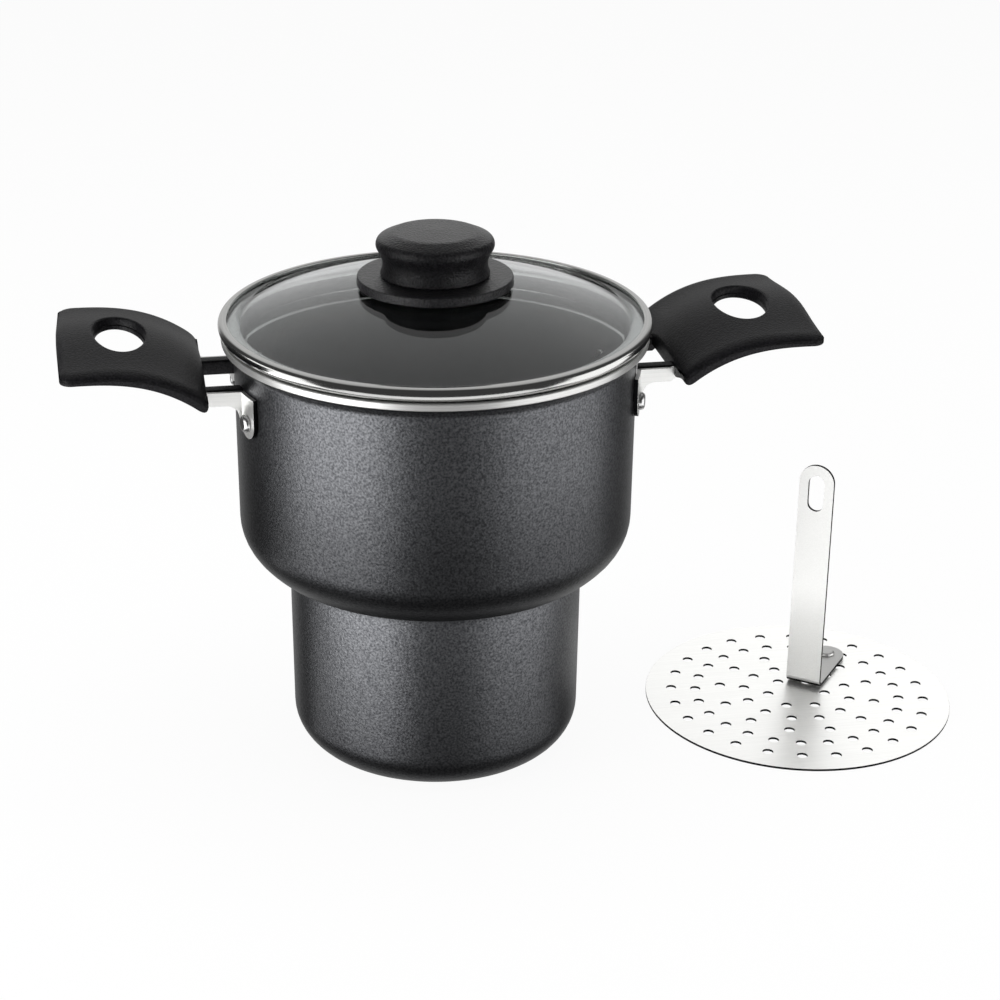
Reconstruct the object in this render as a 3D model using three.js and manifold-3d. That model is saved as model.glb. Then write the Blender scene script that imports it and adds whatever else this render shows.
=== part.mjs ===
// Couscous steamer: a stepped pot whose narrow foot holds the water, a domed glass lid in a steel band,
// two moulded side handles on riveted brackets, and a loose perforated plate that stands beside the pot.
// Millimetres, +Z up. The origin is the centre of the pot's base, and the handles lie along X.

import * as THREE from 'three';
import { mergeVertices } from 'three/addons/utils/BufferGeometryUtils.js';
import Module from 'manifold-3d';

const wasm = await Module();
wasm.setup();

// Pot
const POT_HEIGHT = 176.7;
const UPPER_RADIUS = 78.9;
const UPPER_DRAFT = 0.4;
const LOWER_RADIUS = 59.1;
const LOWER_DRAFT = 0.6;
const STEP_HEIGHT = 80.4;
const STEP_SLOPE = 12;
const STEP_CORNER = 20;
const STEP_NECK = 1.2;
const BASE_CORNER = 16;
const POT_WALL = 2;
const RIM_FLARE = 4.6;
const RIM_EDGE = 2.6;
const RIM_FLARE_HEIGHT = 5;
const RIM_ROUND = 0.5;

// Lid
const LID_OVERHANG = 1;
const BAND_SHEET = 0.8;
const BAND_LIP = 3.4;
const BAND_ROUND = 2.2;
const SKIRT_DEPTH = 6.5;
const SKIRT_CLEARANCE = 0.9;
const SKIRT_ROUND = 0.4;
const GLASS_THICKNESS = 3.5;
const GLASS_LEDGE = 6;
const DOME_RISE = 14.2;

// Knob
const COLLAR_RADIUS = 30.5;
const COLLAR_THICKNESS = 2.4;
const GRIP_HEIGHT = 17.4;
const GRIP_FOOT_RADIUS = 21.7;
const GRIP_WAIST_RADIUS = 19.4;
const GRIP_HEAD_RADIUS = 22.7;
const GRIP_WAIST_SHARE = 0.28;
const GRIP_HEAD_SHARE = 0.66;
const GRIP_WAIST_CURVE = 8.7;
const GRIP_FOOT_ROUND = 0.7;
const GRIP_HEAD_SWELL = 0.4;
const GRIP_HEAD_ROUND = 3;
const GRIP_TOP_ROUND = 5;
const GRIP_TOP_CROWN = 0.4;
const INSERT_RADIUS = 4.2;
const INSERT_LENGTH = 10;
const KNOB_SCREW_RADIUS = 2.4;
const KNOB_SCREW_HEAD_RADIUS = 4.6;
const KNOB_SCREW_HEAD_HEIGHT = 2.6;
const WASHER_RADIUS = 9;
const WASHER_THICKNESS = 1.2;
const GASKET_RADIUS = 8.4;
const GASKET_THICKNESS = 1.2;

// Handles
const HANDLE_STANDOFF = 12.2;
const HANDLE_LENGTH = 55;
const HANDLE_INNER_WIDTH = 76;
const HANDLE_OUTER_WIDTH = 83;
const HANDLE_DROP = 17.8;
const HANDLE_RISE = 16.5;
const HANDLE_RISE_POWER = 3;
const HANDLE_CROWN = 3.6;
const HANDLE_INNER_LIP = 6.5;
const HANDLE_OUTER_LIP = 3.8;
const HANDLE_BULGE = 0.8;
const HANDLE_CORNER = 4.5;
const HANDLE_SKIN = 3;
const HANDLE_WALL = 3;
const HANDLE_HOLE_OFFSET = 31.2;
const HANDLE_HOLE_DEPTH = 20;
const HANDLE_HOLE_WIDTH = 36;
const HANDLE_HOLE_WALL = 2.5;
const LEG_WIDTH = 5.4;
const BOSS_RADIUS = 4.6;
const BOSS_LENGTH = 18;

// Brackets, rivets and handle screws
const BRACKET_SHEET = 1.5;
const ARM_SPREAD = 19.4;
const ARM_DROP = 14.5;
const ARM_HEIGHT = 5.4;
const ARM_FILLET = 5;
const ARM_BEND = 2;
const ARM_LEAD = 1;
const PLATE_INSET = 4.6;
const PLATE_LENGTH = 10.5;
const TAB_WIDTH = 12;
const RIVET_DROP = 25.5;
const RIVET_RADIUS = 2.2;
const RIVET_HEAD_RADIUS = 3.5;
const RIVET_HEAD_HEIGHT = 2;
const RIVET_TAIL_RADIUS = 3.6;
const RIVET_TAIL_HEIGHT = 1;
const HANDLE_SCREW_RADIUS = 2;
const HANDLE_SCREW_LENGTH = 6;
const HANDLE_SCREW_HEAD_RADIUS = 3.8;
const HANDLE_SCREW_HEAD_HEIGHT = 2;
const SCREW_TIP = 0.4;

// Perforated plate
const STRAINER_SPACING = 13.8;
const STRAINER_Y = 1.6;
const STRAINER_TURN = -37;
const DISC_OVERHANG = 5.9;
const DISC_THICKNESS = 1;
const HOLE_RADIUS = 2.2;
const FIRST_RING_RADIUS = 12.2;
const DISC_MARGIN = 11.2;
const RING_COUNTS = [6, 12, 12, 24, 24];
const STRIP_WIDTH = 15;
const STRIP_SHEET = 1.5;
const STRIP_HEIGHT = 103;
const STRIP_OFFSET = 7.5;
const STRIP_BEND = 2;
const SLOT_WIDTH = 7;
const SLOT_LENGTH = 16;
const SLOT_DROP = 4.6;
const STRAINER_RIVET_RADIUS = 1.8;
const STRAINER_RIVET_HEAD_RADIUS = 3.6;
const STRAINER_RIVET_HEAD_HEIGHT = 1.3;

// Clearances between pieces, the length by which a cut runs past a face, and the fineness of round forms
const SEAT_GAP = 0.3;
const HOLE_CLEARANCE = 0.3;
const RIVET_GAP = 0.2;
const OVERRUN = 4;
const POT_SEGMENTS = 44;
const LID_SEGMENTS = 44;
const KNOB_SEGMENTS = 32;
const FASTENER_SEGMENTS = 10;
const HOLE_SEGMENTS = 6;
const ARC_SEGMENTS = 5;
const DOME_STEPS = 6;
const CROWN_STEPS_ALONG = 6;
const CROWN_STEPS_ACROSS = 10;
const CROWN_BUNCHING = 1.5;
const ARC_STEPS_LEAST = 1.2;
const ARC_STEP_RADIUS = 4.5;

// Places that several pieces share
const innerRadius = UPPER_RADIUS - POT_WALL;
const rimRadius = UPPER_RADIUS + RIM_FLARE;
const rimStart = POT_HEIGHT - RIM_EDGE - RIM_FLARE_HEIGHT;
const lidRadius = rimRadius + LID_OVERHANG;
const bandBottom = POT_HEIGHT + SEAT_GAP;
const glassBottom = bandBottom + BAND_SHEET + SEAT_GAP;
const glassTop = glassBottom + GLASS_THICKNESS;
const bandTop = glassTop + SEAT_GAP + BAND_SHEET;
const glassRadius = lidRadius - BAND_SHEET - SEAT_GAP;
const domeRadius = glassRadius - GLASS_LEDGE;
const domeTop = glassTop + DOME_RISE;
const collarBottom = domeTop + SEAT_GAP;
const gripBottom = collarBottom + COLLAR_THICKNESS + SEAT_GAP;
const handleInner = UPPER_RADIUS + HANDLE_STANDOFF;
const handleOuter = handleInner + HANDLE_LENGTH;
const handleBase = POT_HEIGHT - HANDLE_DROP;
const armTop = POT_HEIGHT - ARM_DROP;
const armBottom = armTop - ARM_HEIGHT;
const armOuter = ARM_SPREAD + BRACKET_SHEET;
const plateStart = handleInner + PLATE_INSET;
const plateEnd = plateStart + PLATE_LENGTH;
const tabInnerRadius = UPPER_RADIUS + RIVET_GAP;
const tabOuterRadius = tabInnerRadius + BRACKET_SHEET;
const tabMidRadius = (tabInnerRadius + tabOuterRadius) / 2;
const tabAngle = Math.asin((ARM_SPREAD + TAB_WIDTH / 2) / tabMidRadius);
const rivetHeight = POT_HEIGHT - RIVET_DROP;
const discRadius = LOWER_RADIUS + DISC_OVERHANG;
const ringSpacing = (discRadius - DISC_MARGIN - FIRST_RING_RADIUS) / (RING_COUNTS.length - 1);
const ringRadius = (ring) => FIRST_RING_RADIUS + ring * ringSpacing;
const strainerX = UPPER_RADIUS + STRAINER_SPACING + discRadius;
const strainerRivetOffset = (ringRadius(2) + ringRadius(3)) / 2;
const footBottom = DISC_THICKNESS + SEAT_GAP;

// Finishes
const graphiteCoating = { color: 0x4a4b4f, roughness: 0.45, metalness: 0.6 };
const bakelite = { color: 0x232325, roughness: 0.6, metalness: 0 };
const polishedSteel = { color: 0xd4d4d2, roughness: 0.15, metalness: 1 };
const satinSteel = { color: 0xe2e2e0, roughness: 0.3, metalness: 1 };
const aluminium = { color: 0xc8c9cb, roughness: 0.35, metalness: 1 };
const clearGlass = { color: 0x6e7173, roughness: 0.05, metalness: 0 };
const brass = { color: 0xb59a55, roughness: 0.3, metalness: 1 };
const rubber = { color: 0x2b2b2b, roughness: 0.8, metalness: 0 };

// Closes a geometry: shared corners are merged, slivers dropped and the faces turned outward.
function closed(geometry) {
  const bare = geometry.index ? geometry.clone() : geometry;
  bare.deleteAttribute('normal');
  bare.deleteAttribute('uv');
  const merged = mergeVertices(bare, 1e-4);
  const corners = merged.index.array;
  const position = merged.attributes.position;
  const faces = [];
  let volume = 0;
  const [a, b, c] = [new THREE.Vector3(), new THREE.Vector3(), new THREE.Vector3()];
  for (let i = 0; i < corners.length; i += 3) {
    const [p, q, r] = [corners[i], corners[i + 1], corners[i + 2]];
    if (p === q || q === r || r === p) continue;
    faces.push([p, q, r]);
    a.fromBufferAttribute(position, p);
    b.fromBufferAttribute(position, q);
    c.fromBufferAttribute(position, r);
    volume += a.dot(b.cross(c));
  }
  merged.setIndex(faces.flatMap((face) => (volume < 0 ? face.reverse() : face)));
  return merged;
}

// Makes a solid for joining and cutting out of a closed geometry.
function solid(geometry) {
  const mesh = closed(geometry);
  return new wasm.Manifold(new wasm.Mesh({
    numProp: 3,
    vertProperties: new Float32Array(mesh.attributes.position.array),
    triVerts: new Uint32Array(mesh.index.array),
  }));
}

// Gives a joined or cut solid back as a geometry.
function shaped(body) {
  const mesh = body.getMesh();
  const geometry = new THREE.BufferGeometry();
  geometry.setAttribute('position', new THREE.BufferAttribute(new Float32Array(mesh.vertProperties), 3));
  geometry.setIndex(new THREE.BufferAttribute(new Uint32Array(mesh.triVerts), 1));
  return geometry;
}

// A corner of an outline, with the radius of the arc that rounds it.
const corner = (x, y, radius = 0) => ({ x, y, radius });

// Rounds the corners of an outline by tangent arcs, each limited by the edges it shares.
function rounded(corners) {
  const count = corners.length;
  const places = corners.map(({ x, y }) => new THREE.Vector2(x, y));
  const turns = places.map((here, i) => {
    const back = places[(i + count - 1) % count].clone().sub(here);
    const ahead = places[(i + 1) % count].clone().sub(here);
    const half = Math.max(back.angleTo(ahead) / 2, 1e-3);
    return { back, ahead, half, need: corners[i].radius / Math.tan(half) };
  });
  const share = turns.map(({ ahead, need }, i) => {
    const wanted = need + turns[(i + 1) % count].need;
    return wanted > ahead.length() ? ahead.length() / wanted : 1;
  });
  return places.flatMap((here, i) => {
    const { back, ahead, half, need } = turns[i];
    const reach = need * Math.min(share[i], share[(i + count - 1) % count]);
    if (reach < 1e-3) return [here];
    const radius = reach * Math.tan(half);
    const toCentre = back.clone().normalize().add(ahead.clone().normalize()).normalize();
    const centre = here.clone().addScaledVector(toCentre, radius / Math.sin(half));
    const from = here.clone().addScaledVector(back.normalize(), reach).sub(centre);
    const sweep = Math.PI - 2 * half;
    const side = Math.sign(from.cross(here.clone().sub(centre)));
    const quarterSteps = ARC_STEPS_LEAST + radius / ARC_STEP_RADIUS;
    const steps = Math.max(1, Math.round((sweep / (Math.PI / 2)) * quarterSteps));
    const pivot = new THREE.Vector2();
    return Array.from({ length: steps + 1 }, (_, k) =>
      from.clone().rotateAround(pivot, (side * sweep * k) / steps).add(centre));
  });
}

// Turns a closed outline of (radius, height) points about Z.
function revolved(points, segments) {
  const ring = [...points, points[0]].map((point) => new THREE.Vector2(Math.max(point.x, 0), point.y));
  return new THREE.LatheGeometry(ring, segments).rotateX(Math.PI / 2);
}

// Raises an outline, drawn in plan, along Z from a base height.
function raised(shape, base, height) {
  const settings = { depth: height, bevelEnabled: false, curveSegments: ARC_SEGMENTS };
  return new THREE.ExtrudeGeometry(shape, settings).translate(0, 0, base);
}

// Sweeps an outline, drawn in the X-Z plane, along Y between two places.
function sweptAcross(points, from, to) {
  const settings = { depth: to - from, bevelEnabled: false };
  return new THREE.ExtrudeGeometry(new THREE.Shape(points), settings)
    .rotateX(Math.PI / 2)
    .translate(0, to, 0);
}

// A round bar along Z.
function bar(radius, from, to, segments = FASTENER_SEGMENTS) {
  const length = to - from;
  return new THREE.CylinderGeometry(radius, radius, length, segments)
    .rotateX(Math.PI / 2)
    .translate(0, 0, from + length / 2);
}

// The inside and the outside of the pot are the same corners, offset by the wall, along the slope too.
function potBody() {
  const lowerFoot = LOWER_RADIUS - LOWER_DRAFT;
  const upperFoot = UPPER_RADIUS - UPPER_DRAFT;
  const flareTop = POT_HEIGHT - RIM_EDGE;
  const slopeShift = POT_WALL * (Math.SQRT2 - 1);
  const profile = rounded([
    corner(0, 0),
    corner(lowerFoot, 0, BASE_CORNER),
    corner(LOWER_RADIUS, STEP_HEIGHT, STEP_NECK),
    corner(upperFoot - STEP_SLOPE, STEP_HEIGHT, STEP_CORNER),
    corner(upperFoot, STEP_HEIGHT + STEP_SLOPE, STEP_CORNER),
    corner(UPPER_RADIUS, rimStart, RIM_FLARE),
    corner(rimRadius, flareTop, RIM_ROUND),
    corner(rimRadius, POT_HEIGHT, RIM_ROUND),
    corner(rimRadius - POT_WALL, POT_HEIGHT, RIM_ROUND),
    corner(innerRadius, rimStart + POT_WALL / 2, RIM_FLARE),
    corner(upperFoot - POT_WALL, STEP_HEIGHT + STEP_SLOPE + slopeShift, STEP_CORNER - POT_WALL),
    corner(upperFoot - STEP_SLOPE - slopeShift, STEP_HEIGHT + POT_WALL, STEP_CORNER - POT_WALL),
    corner(LOWER_RADIUS - POT_WALL, STEP_HEIGHT + POT_WALL, STEP_NECK + POT_WALL),
    corner(lowerFoot - POT_WALL, POT_WALL, BASE_CORNER - POT_WALL),
    corner(0, POT_WALL),
  ]);
  let body = solid(revolved(profile, POT_SEGMENTS));
  for (const side of [0, Math.PI]) {
    for (const turn of [tabAngle, -tabAngle]) {
      const hole = bar(RIVET_RADIUS + HOLE_CLEARANCE, innerRadius - OVERRUN, UPPER_RADIUS + OVERRUN);
      hole.rotateY(Math.PI / 2).rotateZ(side + turn).translate(0, 0, rivetHeight);
      body = body.subtract(solid(hole));
    }
  }
  return shaped(body);
}

// The dome is a cap of one sphere, and its underside is the same cap lowered by the thickness.
function domeHeight(radius) {
  const sphere = (domeRadius ** 2 + DOME_RISE ** 2) / (2 * DOME_RISE);
  const inside = Math.min(radius, domeRadius);
  return glassTop + Math.sqrt(sphere ** 2 - inside ** 2) - (sphere - DOME_RISE);
}

function lidGlass() {
  const hole = KNOB_SCREW_RADIUS + HOLE_CLEARANCE;
  const across = Array.from({ length: DOME_STEPS + 1 }, (_, k) =>
    THREE.MathUtils.lerp(hole, domeRadius, k / DOME_STEPS));
  const top = across.map((radius) => new THREE.Vector2(radius, domeHeight(radius)));
  const under = top.map((point) => new THREE.Vector2(point.x, point.y - GLASS_THICKNESS)).reverse();
  const edge = [new THREE.Vector2(glassRadius, glassTop), new THREE.Vector2(glassRadius, glassBottom)];
  return closed(revolved([...top, ...edge, ...under], LID_SEGMENTS));
}

// One rolled section: a channel that grips the edge of the glass, and a skirt that centres the lid.
function lidBand() {
  const skirtRadius = innerRadius - SKIRT_CLEARANCE;
  const skirtBottom = bandBottom - SKIRT_DEPTH;
  const channel = lidRadius - BAND_SHEET;
  return closed(revolved(rounded([
    corner(skirtRadius - BAND_SHEET, skirtBottom),
    corner(skirtRadius, skirtBottom),
    corner(skirtRadius, bandBottom, SKIRT_ROUND),
    corner(lidRadius, bandBottom, BAND_ROUND),
    corner(lidRadius, bandTop, BAND_ROUND),
    corner(lidRadius - BAND_LIP, bandTop),
    corner(lidRadius - BAND_LIP, bandTop - BAND_SHEET),
    corner(channel, bandTop - BAND_SHEET),
    corner(channel, bandBottom + BAND_SHEET),
    corner(skirtRadius - BAND_SHEET, bandBottom + BAND_SHEET, SKIRT_ROUND + BAND_SHEET),
  ]), LID_SEGMENTS));
}

function knobCollar() {
  const hole = KNOB_SCREW_RADIUS + HOLE_CLEARANCE;
  const top = collarBottom + COLLAR_THICKNESS;
  return closed(revolved(rounded([
    corner(hole, collarBottom),
    corner(COLLAR_RADIUS - COLLAR_THICKNESS / 3, collarBottom, COLLAR_THICKNESS / 3),
    corner(COLLAR_RADIUS, top, COLLAR_THICKNESS / 4),
    corner(hole, top),
  ]), KNOB_SEGMENTS));
}

// The grip flares at its foot, draws in to a waist for the fingers and swells to a rounded head.
function knobGrip() {
  const pocket = INSERT_RADIUS + SEAT_GAP;
  const pocketTop = gripBottom + INSERT_LENGTH + 2 * SEAT_GAP;
  const top = gripBottom + GRIP_HEIGHT;
  return closed(revolved(rounded([
    corner(pocket, gripBottom),
    corner(GRIP_FOOT_RADIUS, gripBottom, GRIP_FOOT_ROUND),
    corner(GRIP_WAIST_RADIUS, gripBottom + GRIP_HEIGHT * GRIP_WAIST_SHARE, GRIP_WAIST_CURVE),
    corner(GRIP_HEAD_RADIUS + GRIP_HEAD_SWELL, gripBottom + GRIP_HEIGHT * GRIP_HEAD_SHARE, GRIP_HEAD_ROUND),
    corner(GRIP_HEAD_RADIUS, top - GRIP_TOP_ROUND / 2, GRIP_TOP_ROUND / 2),
    corner(GRIP_HEAD_RADIUS - GRIP_TOP_ROUND, top - GRIP_TOP_CROWN, GRIP_TOP_ROUND),
    corner(0, top),
    corner(0, pocketTop),
    corner(pocket, pocketTop),
  ]), KNOB_SEGMENTS));
}

// A round piece with a hole for the knob screw.
function bored(radius, from, to) {
  const hole = KNOB_SCREW_RADIUS + HOLE_CLEARANCE;
  const outline = [[hole, from], [radius, from], [radius, to], [hole, to]];
  return closed(revolved(outline.map(([x, y]) => new THREE.Vector2(x, y)), FASTENER_SEGMENTS));
}

// A screw along +Z: its head hangs below the seat and its shank rises above it.
function screw(shankRadius, shankLength, headRadius, headHeight) {
  return closed(revolved(rounded([
    corner(0, -headHeight),
    corner(headRadius, -headHeight, headHeight * 0.6),
    corner(headRadius, 0),
    corner(shankRadius, 0),
    corner(shankRadius, shankLength, SCREW_TIP),
    corner(0, shankLength),
  ]), FASTENER_SEGMENTS));
}

// Handle surface: the lip climbs away from the pot along a flattening curve, and the top is crowned across.
const along = (x) => (x - handleInner) / HANDLE_LENGTH;
const blend = (from, to, x) => from + (to - from) * THREE.MathUtils.clamp(along(x), 0, 1);
const lipBottom = (x) => handleBase + HANDLE_RISE * (1 - Math.max(1 - along(x), 0) ** HANDLE_RISE_POWER);
const lipHeight = (x) => blend(HANDLE_INNER_LIP, HANDLE_OUTER_LIP, x);
const halfWidth = (x) => blend(HANDLE_INNER_WIDTH, HANDLE_OUTER_WIDTH, x) / 2;

function crownTop(x, y) {
  const across = Math.min(Math.abs(y) / halfWidth(x), 1);
  return lipBottom(x) + lipHeight(x) + HANDLE_CROWN * (1 + Math.cos(Math.PI * across)) / 2;
}

// A slab between the crowned top, lowered by a given depth, and the lip's underside, lowered likewise.
// Its rows are bunched toward the pot, where the curve is steepest.
function crownedSlab(topDepth, bottomDepth) {
  const box = new THREE.BoxGeometry(1, 2, 1, CROWN_STEPS_ALONG, CROWN_STEPS_ACROSS, 1);
  const position = box.attributes.position;
  for (let i = 0; i < position.count; i += 1) {
    const share = (position.getX(i) + 0.5) ** CROWN_BUNCHING;
    const x = THREE.MathUtils.lerp(handleInner - SEAT_GAP, handleOuter + HANDLE_BULGE, share);
    const y = position.getY(i) * halfWidth(x) * 1.04;
    const z = position.getZ(i) > 0 ? crownTop(x, y) - topDepth : lipBottom(x) - bottomDepth;
    position.setXYZ(i, x, y, z);
  }
  return solid(box);
}

// The handle's outline in plan, drawn in by an inset.
function handlePlan(inset) {
  const inner = HANDLE_INNER_WIDTH / 2 - inset;
  const outer = HANDLE_OUTER_WIDTH / 2 - inset;
  const cornerX = handleOuter - HANDLE_BULGE - inset;
  const round = Math.max(HANDLE_CORNER - inset, 1);
  const outline = rounded([
    corner(handleInner + inset, -inner, round / 2),
    corner(cornerX, -outer, round),
    corner(handleOuter + HANDLE_BULGE / 3 - inset, 0, HANDLE_OUTER_WIDTH * 3),
    corner(cornerX, outer, round),
    corner(handleInner + inset, inner, round / 2),
  ]);
  return solid(raised(new THREE.Shape(outline), 0, 2 * POT_HEIGHT));
}

function ellipsePrism(x, radiusX, radiusY) {
  const shape = new THREE.Shape();
  shape.absellipse(x, 0, radiusX, radiusY, 0, 2 * Math.PI);
  const settings = { depth: 2 * POT_HEIGHT, bevelEnabled: false, curveSegments: 2 * ARC_SEGMENTS };
  return solid(new THREE.ExtrudeGeometry(shape, settings));
}

// The bracket's plate lies along the underside of the handle, and the handle screw stands square to it.
const plateFrom = new THREE.Vector2(plateStart, lipBottom(plateStart));
const plateTo = new THREE.Vector2(plateEnd, lipBottom(plateEnd));
const plateSlope = Math.atan2(plateTo.y - plateFrom.y, plateTo.x - plateFrom.x);
const plateNormal = new THREE.Vector2(-Math.sin(plateSlope), Math.cos(plateSlope));
const plateMiddle = plateFrom.clone().lerp(plateTo, 0.5);
const plateLift = plateNormal.clone().multiplyScalar(BRACKET_SHEET);

// Stands a geometry, made along Z from the plate's underside, square to the plate.
const onPlate = (geometry) => geometry.rotateY(-plateSlope).translate(plateMiddle.x, 0, plateMiddle.y);

function handleBody() {
  const holeX = handleInner + HANDLE_HOLE_OFFSET;
  const [holeHalf, holeHalfWidth] = [HANDLE_HOLE_DEPTH / 2, HANDLE_HOLE_WIDTH / 2];
  const hole = ellipsePrism(holeX, holeHalf, holeHalfWidth);
  const holeWall = ellipsePrism(holeX, holeHalf + HANDLE_HOLE_WALL, holeHalfWidth + HANDLE_HOLE_WALL);
  const boss = solid(onPlate(bar(BOSS_RADIUS, 0, BOSS_LENGTH)));
  const hollow = crownedSlab(HANDLE_SKIN, HANDLE_SKIN)
    .intersect(handlePlan(HANDLE_WALL))
    .subtract(holeWall)
    .subtract(boss);
  const legOuter = ARM_SPREAD - SEAT_GAP;
  const legInner = legOuter - LEG_WIDTH;
  const legStart = Math.sqrt((UPPER_RADIUS + SEAT_GAP) ** 2 - legInner ** 2);
  const legTop = armTop + SEAT_GAP * 2;
  const legEnd = plateStart + plateLift.x - 2 * SEAT_GAP;
  const legOutline = [
    [legStart, armBottom],
    [handleInner, armBottom],
    [legEnd, (armBottom + lipBottom(legEnd)) / 2],
    [legEnd, lipBottom(legEnd) + HANDLE_INNER_LIP / 2],
    [handleInner, legTop],
    [legStart, legTop],
  ].map(([x, y]) => new THREE.Vector2(x, y));
  const armSlot = [
    [handleInner - ARM_LEAD, armBottom - OVERRUN],
    [plateStart + ARM_LEAD, armBottom - OVERRUN],
    [plateStart + ARM_LEAD, plateFrom.y + plateLift.y + 4 * SEAT_GAP],
    [plateStart + plateLift.x - SEAT_GAP, plateFrom.y + plateLift.y + 2 * SEAT_GAP],
    [handleInner - ARM_LEAD, armTop + 2 * SEAT_GAP],
  ].map(([x, y]) => new THREE.Vector2(x, y));
  const roomTop = BRACKET_SHEET + SEAT_GAP;
  const plateRoom = onPlate(new THREE.BoxGeometry(
    PLATE_LENGTH + 4 * SEAT_GAP,
    2 * (armOuter + SEAT_GAP),
    roomTop + 2 * OVERRUN,
  ).translate(0, 0, roomTop / 2 - OVERRUN));
  const screwBore = onPlate(bar(HANDLE_SCREW_RADIUS + HOLE_CLEARANCE, 0, HANDLE_SCREW_LENGTH + SEAT_GAP));
  let body = crownedSlab(0, 0).intersect(handlePlan(0)).subtract(hollow).subtract(hole);
  for (const side of [1, -1]) {
    const [legFrom, legTo] = [side * legInner, side * legOuter].sort((a, b) => a - b);
    const [slotFrom, slotTo] = [side * legOuter, side * (armOuter + SEAT_GAP)].sort((a, b) => a - b);
    body = body.add(solid(sweptAcross(legOutline, legFrom, legTo)));
    body = body.subtract(solid(sweptAcross(armSlot, slotFrom, slotTo)));
  }
  return shaped(body.subtract(solid(plateRoom)).subtract(solid(screwBore)));
}

// One stamping: a plate under the handle, two arms along its legs and two tabs bent out onto the pot's wall.
function bracketBody() {
  const plateOutline = [plateFrom, plateTo, plateTo.clone().add(plateLift), plateFrom.clone().add(plateLift)];
  const armStart = Math.sqrt(tabMidRadius ** 2 - (ARM_SPREAD + BRACKET_SHEET / 2) ** 2);
  const gusset = armStart + BRACKET_SHEET;
  const armOutline = rounded([
    corner(armStart, armBottom - ARM_FILLET),
    corner(gusset, armBottom - ARM_FILLET),
    corner(gusset, armBottom, ARM_FILLET),
    corner(handleInner - ARM_LEAD, armBottom, ARM_BEND),
    corner(plateTo.x, plateTo.y),
    corner(plateTo.x + plateLift.x, plateTo.y + plateLift.y),
    corner(plateFrom.x + plateLift.x, plateFrom.y + plateLift.y, ARM_BEND / 2),
    corner(handleInner - ARM_LEAD, armTop, ARM_BEND),
    corner(armStart, armTop),
  ]);
  const arch = new THREE.Shape();
  const half = TAB_WIDTH / 2;
  arch.moveTo(-half, armTop);
  arch.lineTo(-half, rivetHeight);
  arch.absarc(0, rivetHeight, half, Math.PI, 2 * Math.PI);
  arch.lineTo(half, armTop);
  const wallSector = revolved([
    new THREE.Vector2(tabInnerRadius, rivetHeight - TAB_WIDTH),
    new THREE.Vector2(tabOuterRadius, rivetHeight - TAB_WIDTH),
    new THREE.Vector2(tabOuterRadius, armTop + OVERRUN),
    new THREE.Vector2(tabInnerRadius, armTop + OVERRUN),
  ], POT_SEGMENTS);
  let body = solid(sweptAcross(plateOutline, -armOuter, armOuter));
  for (const side of [1, -1]) {
    const [from, to] = [side * ARM_SPREAD, side * armOuter].sort((a, b) => a - b);
    const tab = raised(arch, 0, tabOuterRadius + OVERRUN)
      .rotateX(Math.PI / 2)
      .rotateZ(Math.PI / 2 + side * tabAngle);
    const hole = bar(RIVET_RADIUS + HOLE_CLEARANCE, innerRadius, tabOuterRadius + OVERRUN);
    hole.rotateY(Math.PI / 2).rotateZ(side * tabAngle).translate(0, 0, rivetHeight);
    body = body.add(solid(sweptAcross(armOutline, from, to)));
    body = body.add(solid(wallSector).intersect(solid(tab))).subtract(solid(hole));
  }
  const screwHole = onPlate(bar(HANDLE_SCREW_RADIUS + HOLE_CLEARANCE, -OVERRUN, BRACKET_SHEET + OVERRUN));
  return shaped(body.subtract(solid(screwHole)));
}

// A rivet along +X: a flat tail inside the pot, a shank through wall and tab, and a domed head outside.
function wallRivet() {
  const tailSeat = Math.sqrt(innerRadius ** 2 - RIVET_TAIL_RADIUS ** 2) - RIVET_GAP - UPPER_DRAFT;
  const headSeat = tabOuterRadius + RIVET_GAP;
  const profile = rounded([
    corner(0, tailSeat - RIVET_TAIL_HEIGHT),
    corner(RIVET_TAIL_RADIUS, tailSeat - RIVET_TAIL_HEIGHT, RIVET_TAIL_HEIGHT / 2),
    corner(RIVET_TAIL_RADIUS, tailSeat),
    corner(RIVET_RADIUS, tailSeat),
    corner(RIVET_RADIUS, headSeat),
    corner(RIVET_HEAD_RADIUS, headSeat),
    corner(RIVET_HEAD_RADIUS, headSeat + RIVET_HEAD_HEIGHT, RIVET_HEAD_HEIGHT * 0.8),
    corner(0, headSeat + RIVET_HEAD_HEIGHT),
  ]);
  return closed(revolved(profile, FASTENER_SEGMENTS)).rotateY(Math.PI / 2);
}

// Rings of round holes, each ring half a step off the strip's line so that the strip stands between holes.
function strainerDisc() {
  const disc = new THREE.Shape();
  disc.absarc(0, 0, discRadius, 0, 2 * Math.PI);
  RING_COUNTS.forEach((count, ring) => {
    for (let k = 0; k < count; k += 1) {
      const angle = (2 * Math.PI * (k + 0.5)) / count;
      const place = new THREE.Vector2(Math.cos(angle), Math.sin(angle)).multiplyScalar(ringRadius(ring));
      disc.holes.push(roundHole(place, HOLE_RADIUS, HOLE_SEGMENTS));
    }
  });
  disc.holes.push(strainerRivetHole());
  const rim = disc.getPoints(POT_SEGMENTS / 2);
  const flat = new THREE.Shape(rim);
  flat.holes = disc.holes;
  const settings = { depth: DISC_THICKNESS, bevelEnabled: false, curveSegments: HOLE_SEGMENTS };
  return closed(new THREE.ExtrudeGeometry(flat, settings));
}

function roundHole(centre, radius, segments) {
  const points = Array.from({ length: segments }, (_, k) => {
    const angle = (-2 * Math.PI * k) / segments;
    return new THREE.Vector2(Math.cos(angle), Math.sin(angle)).multiplyScalar(radius).add(centre);
  });
  return new THREE.Path(points);
}

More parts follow.
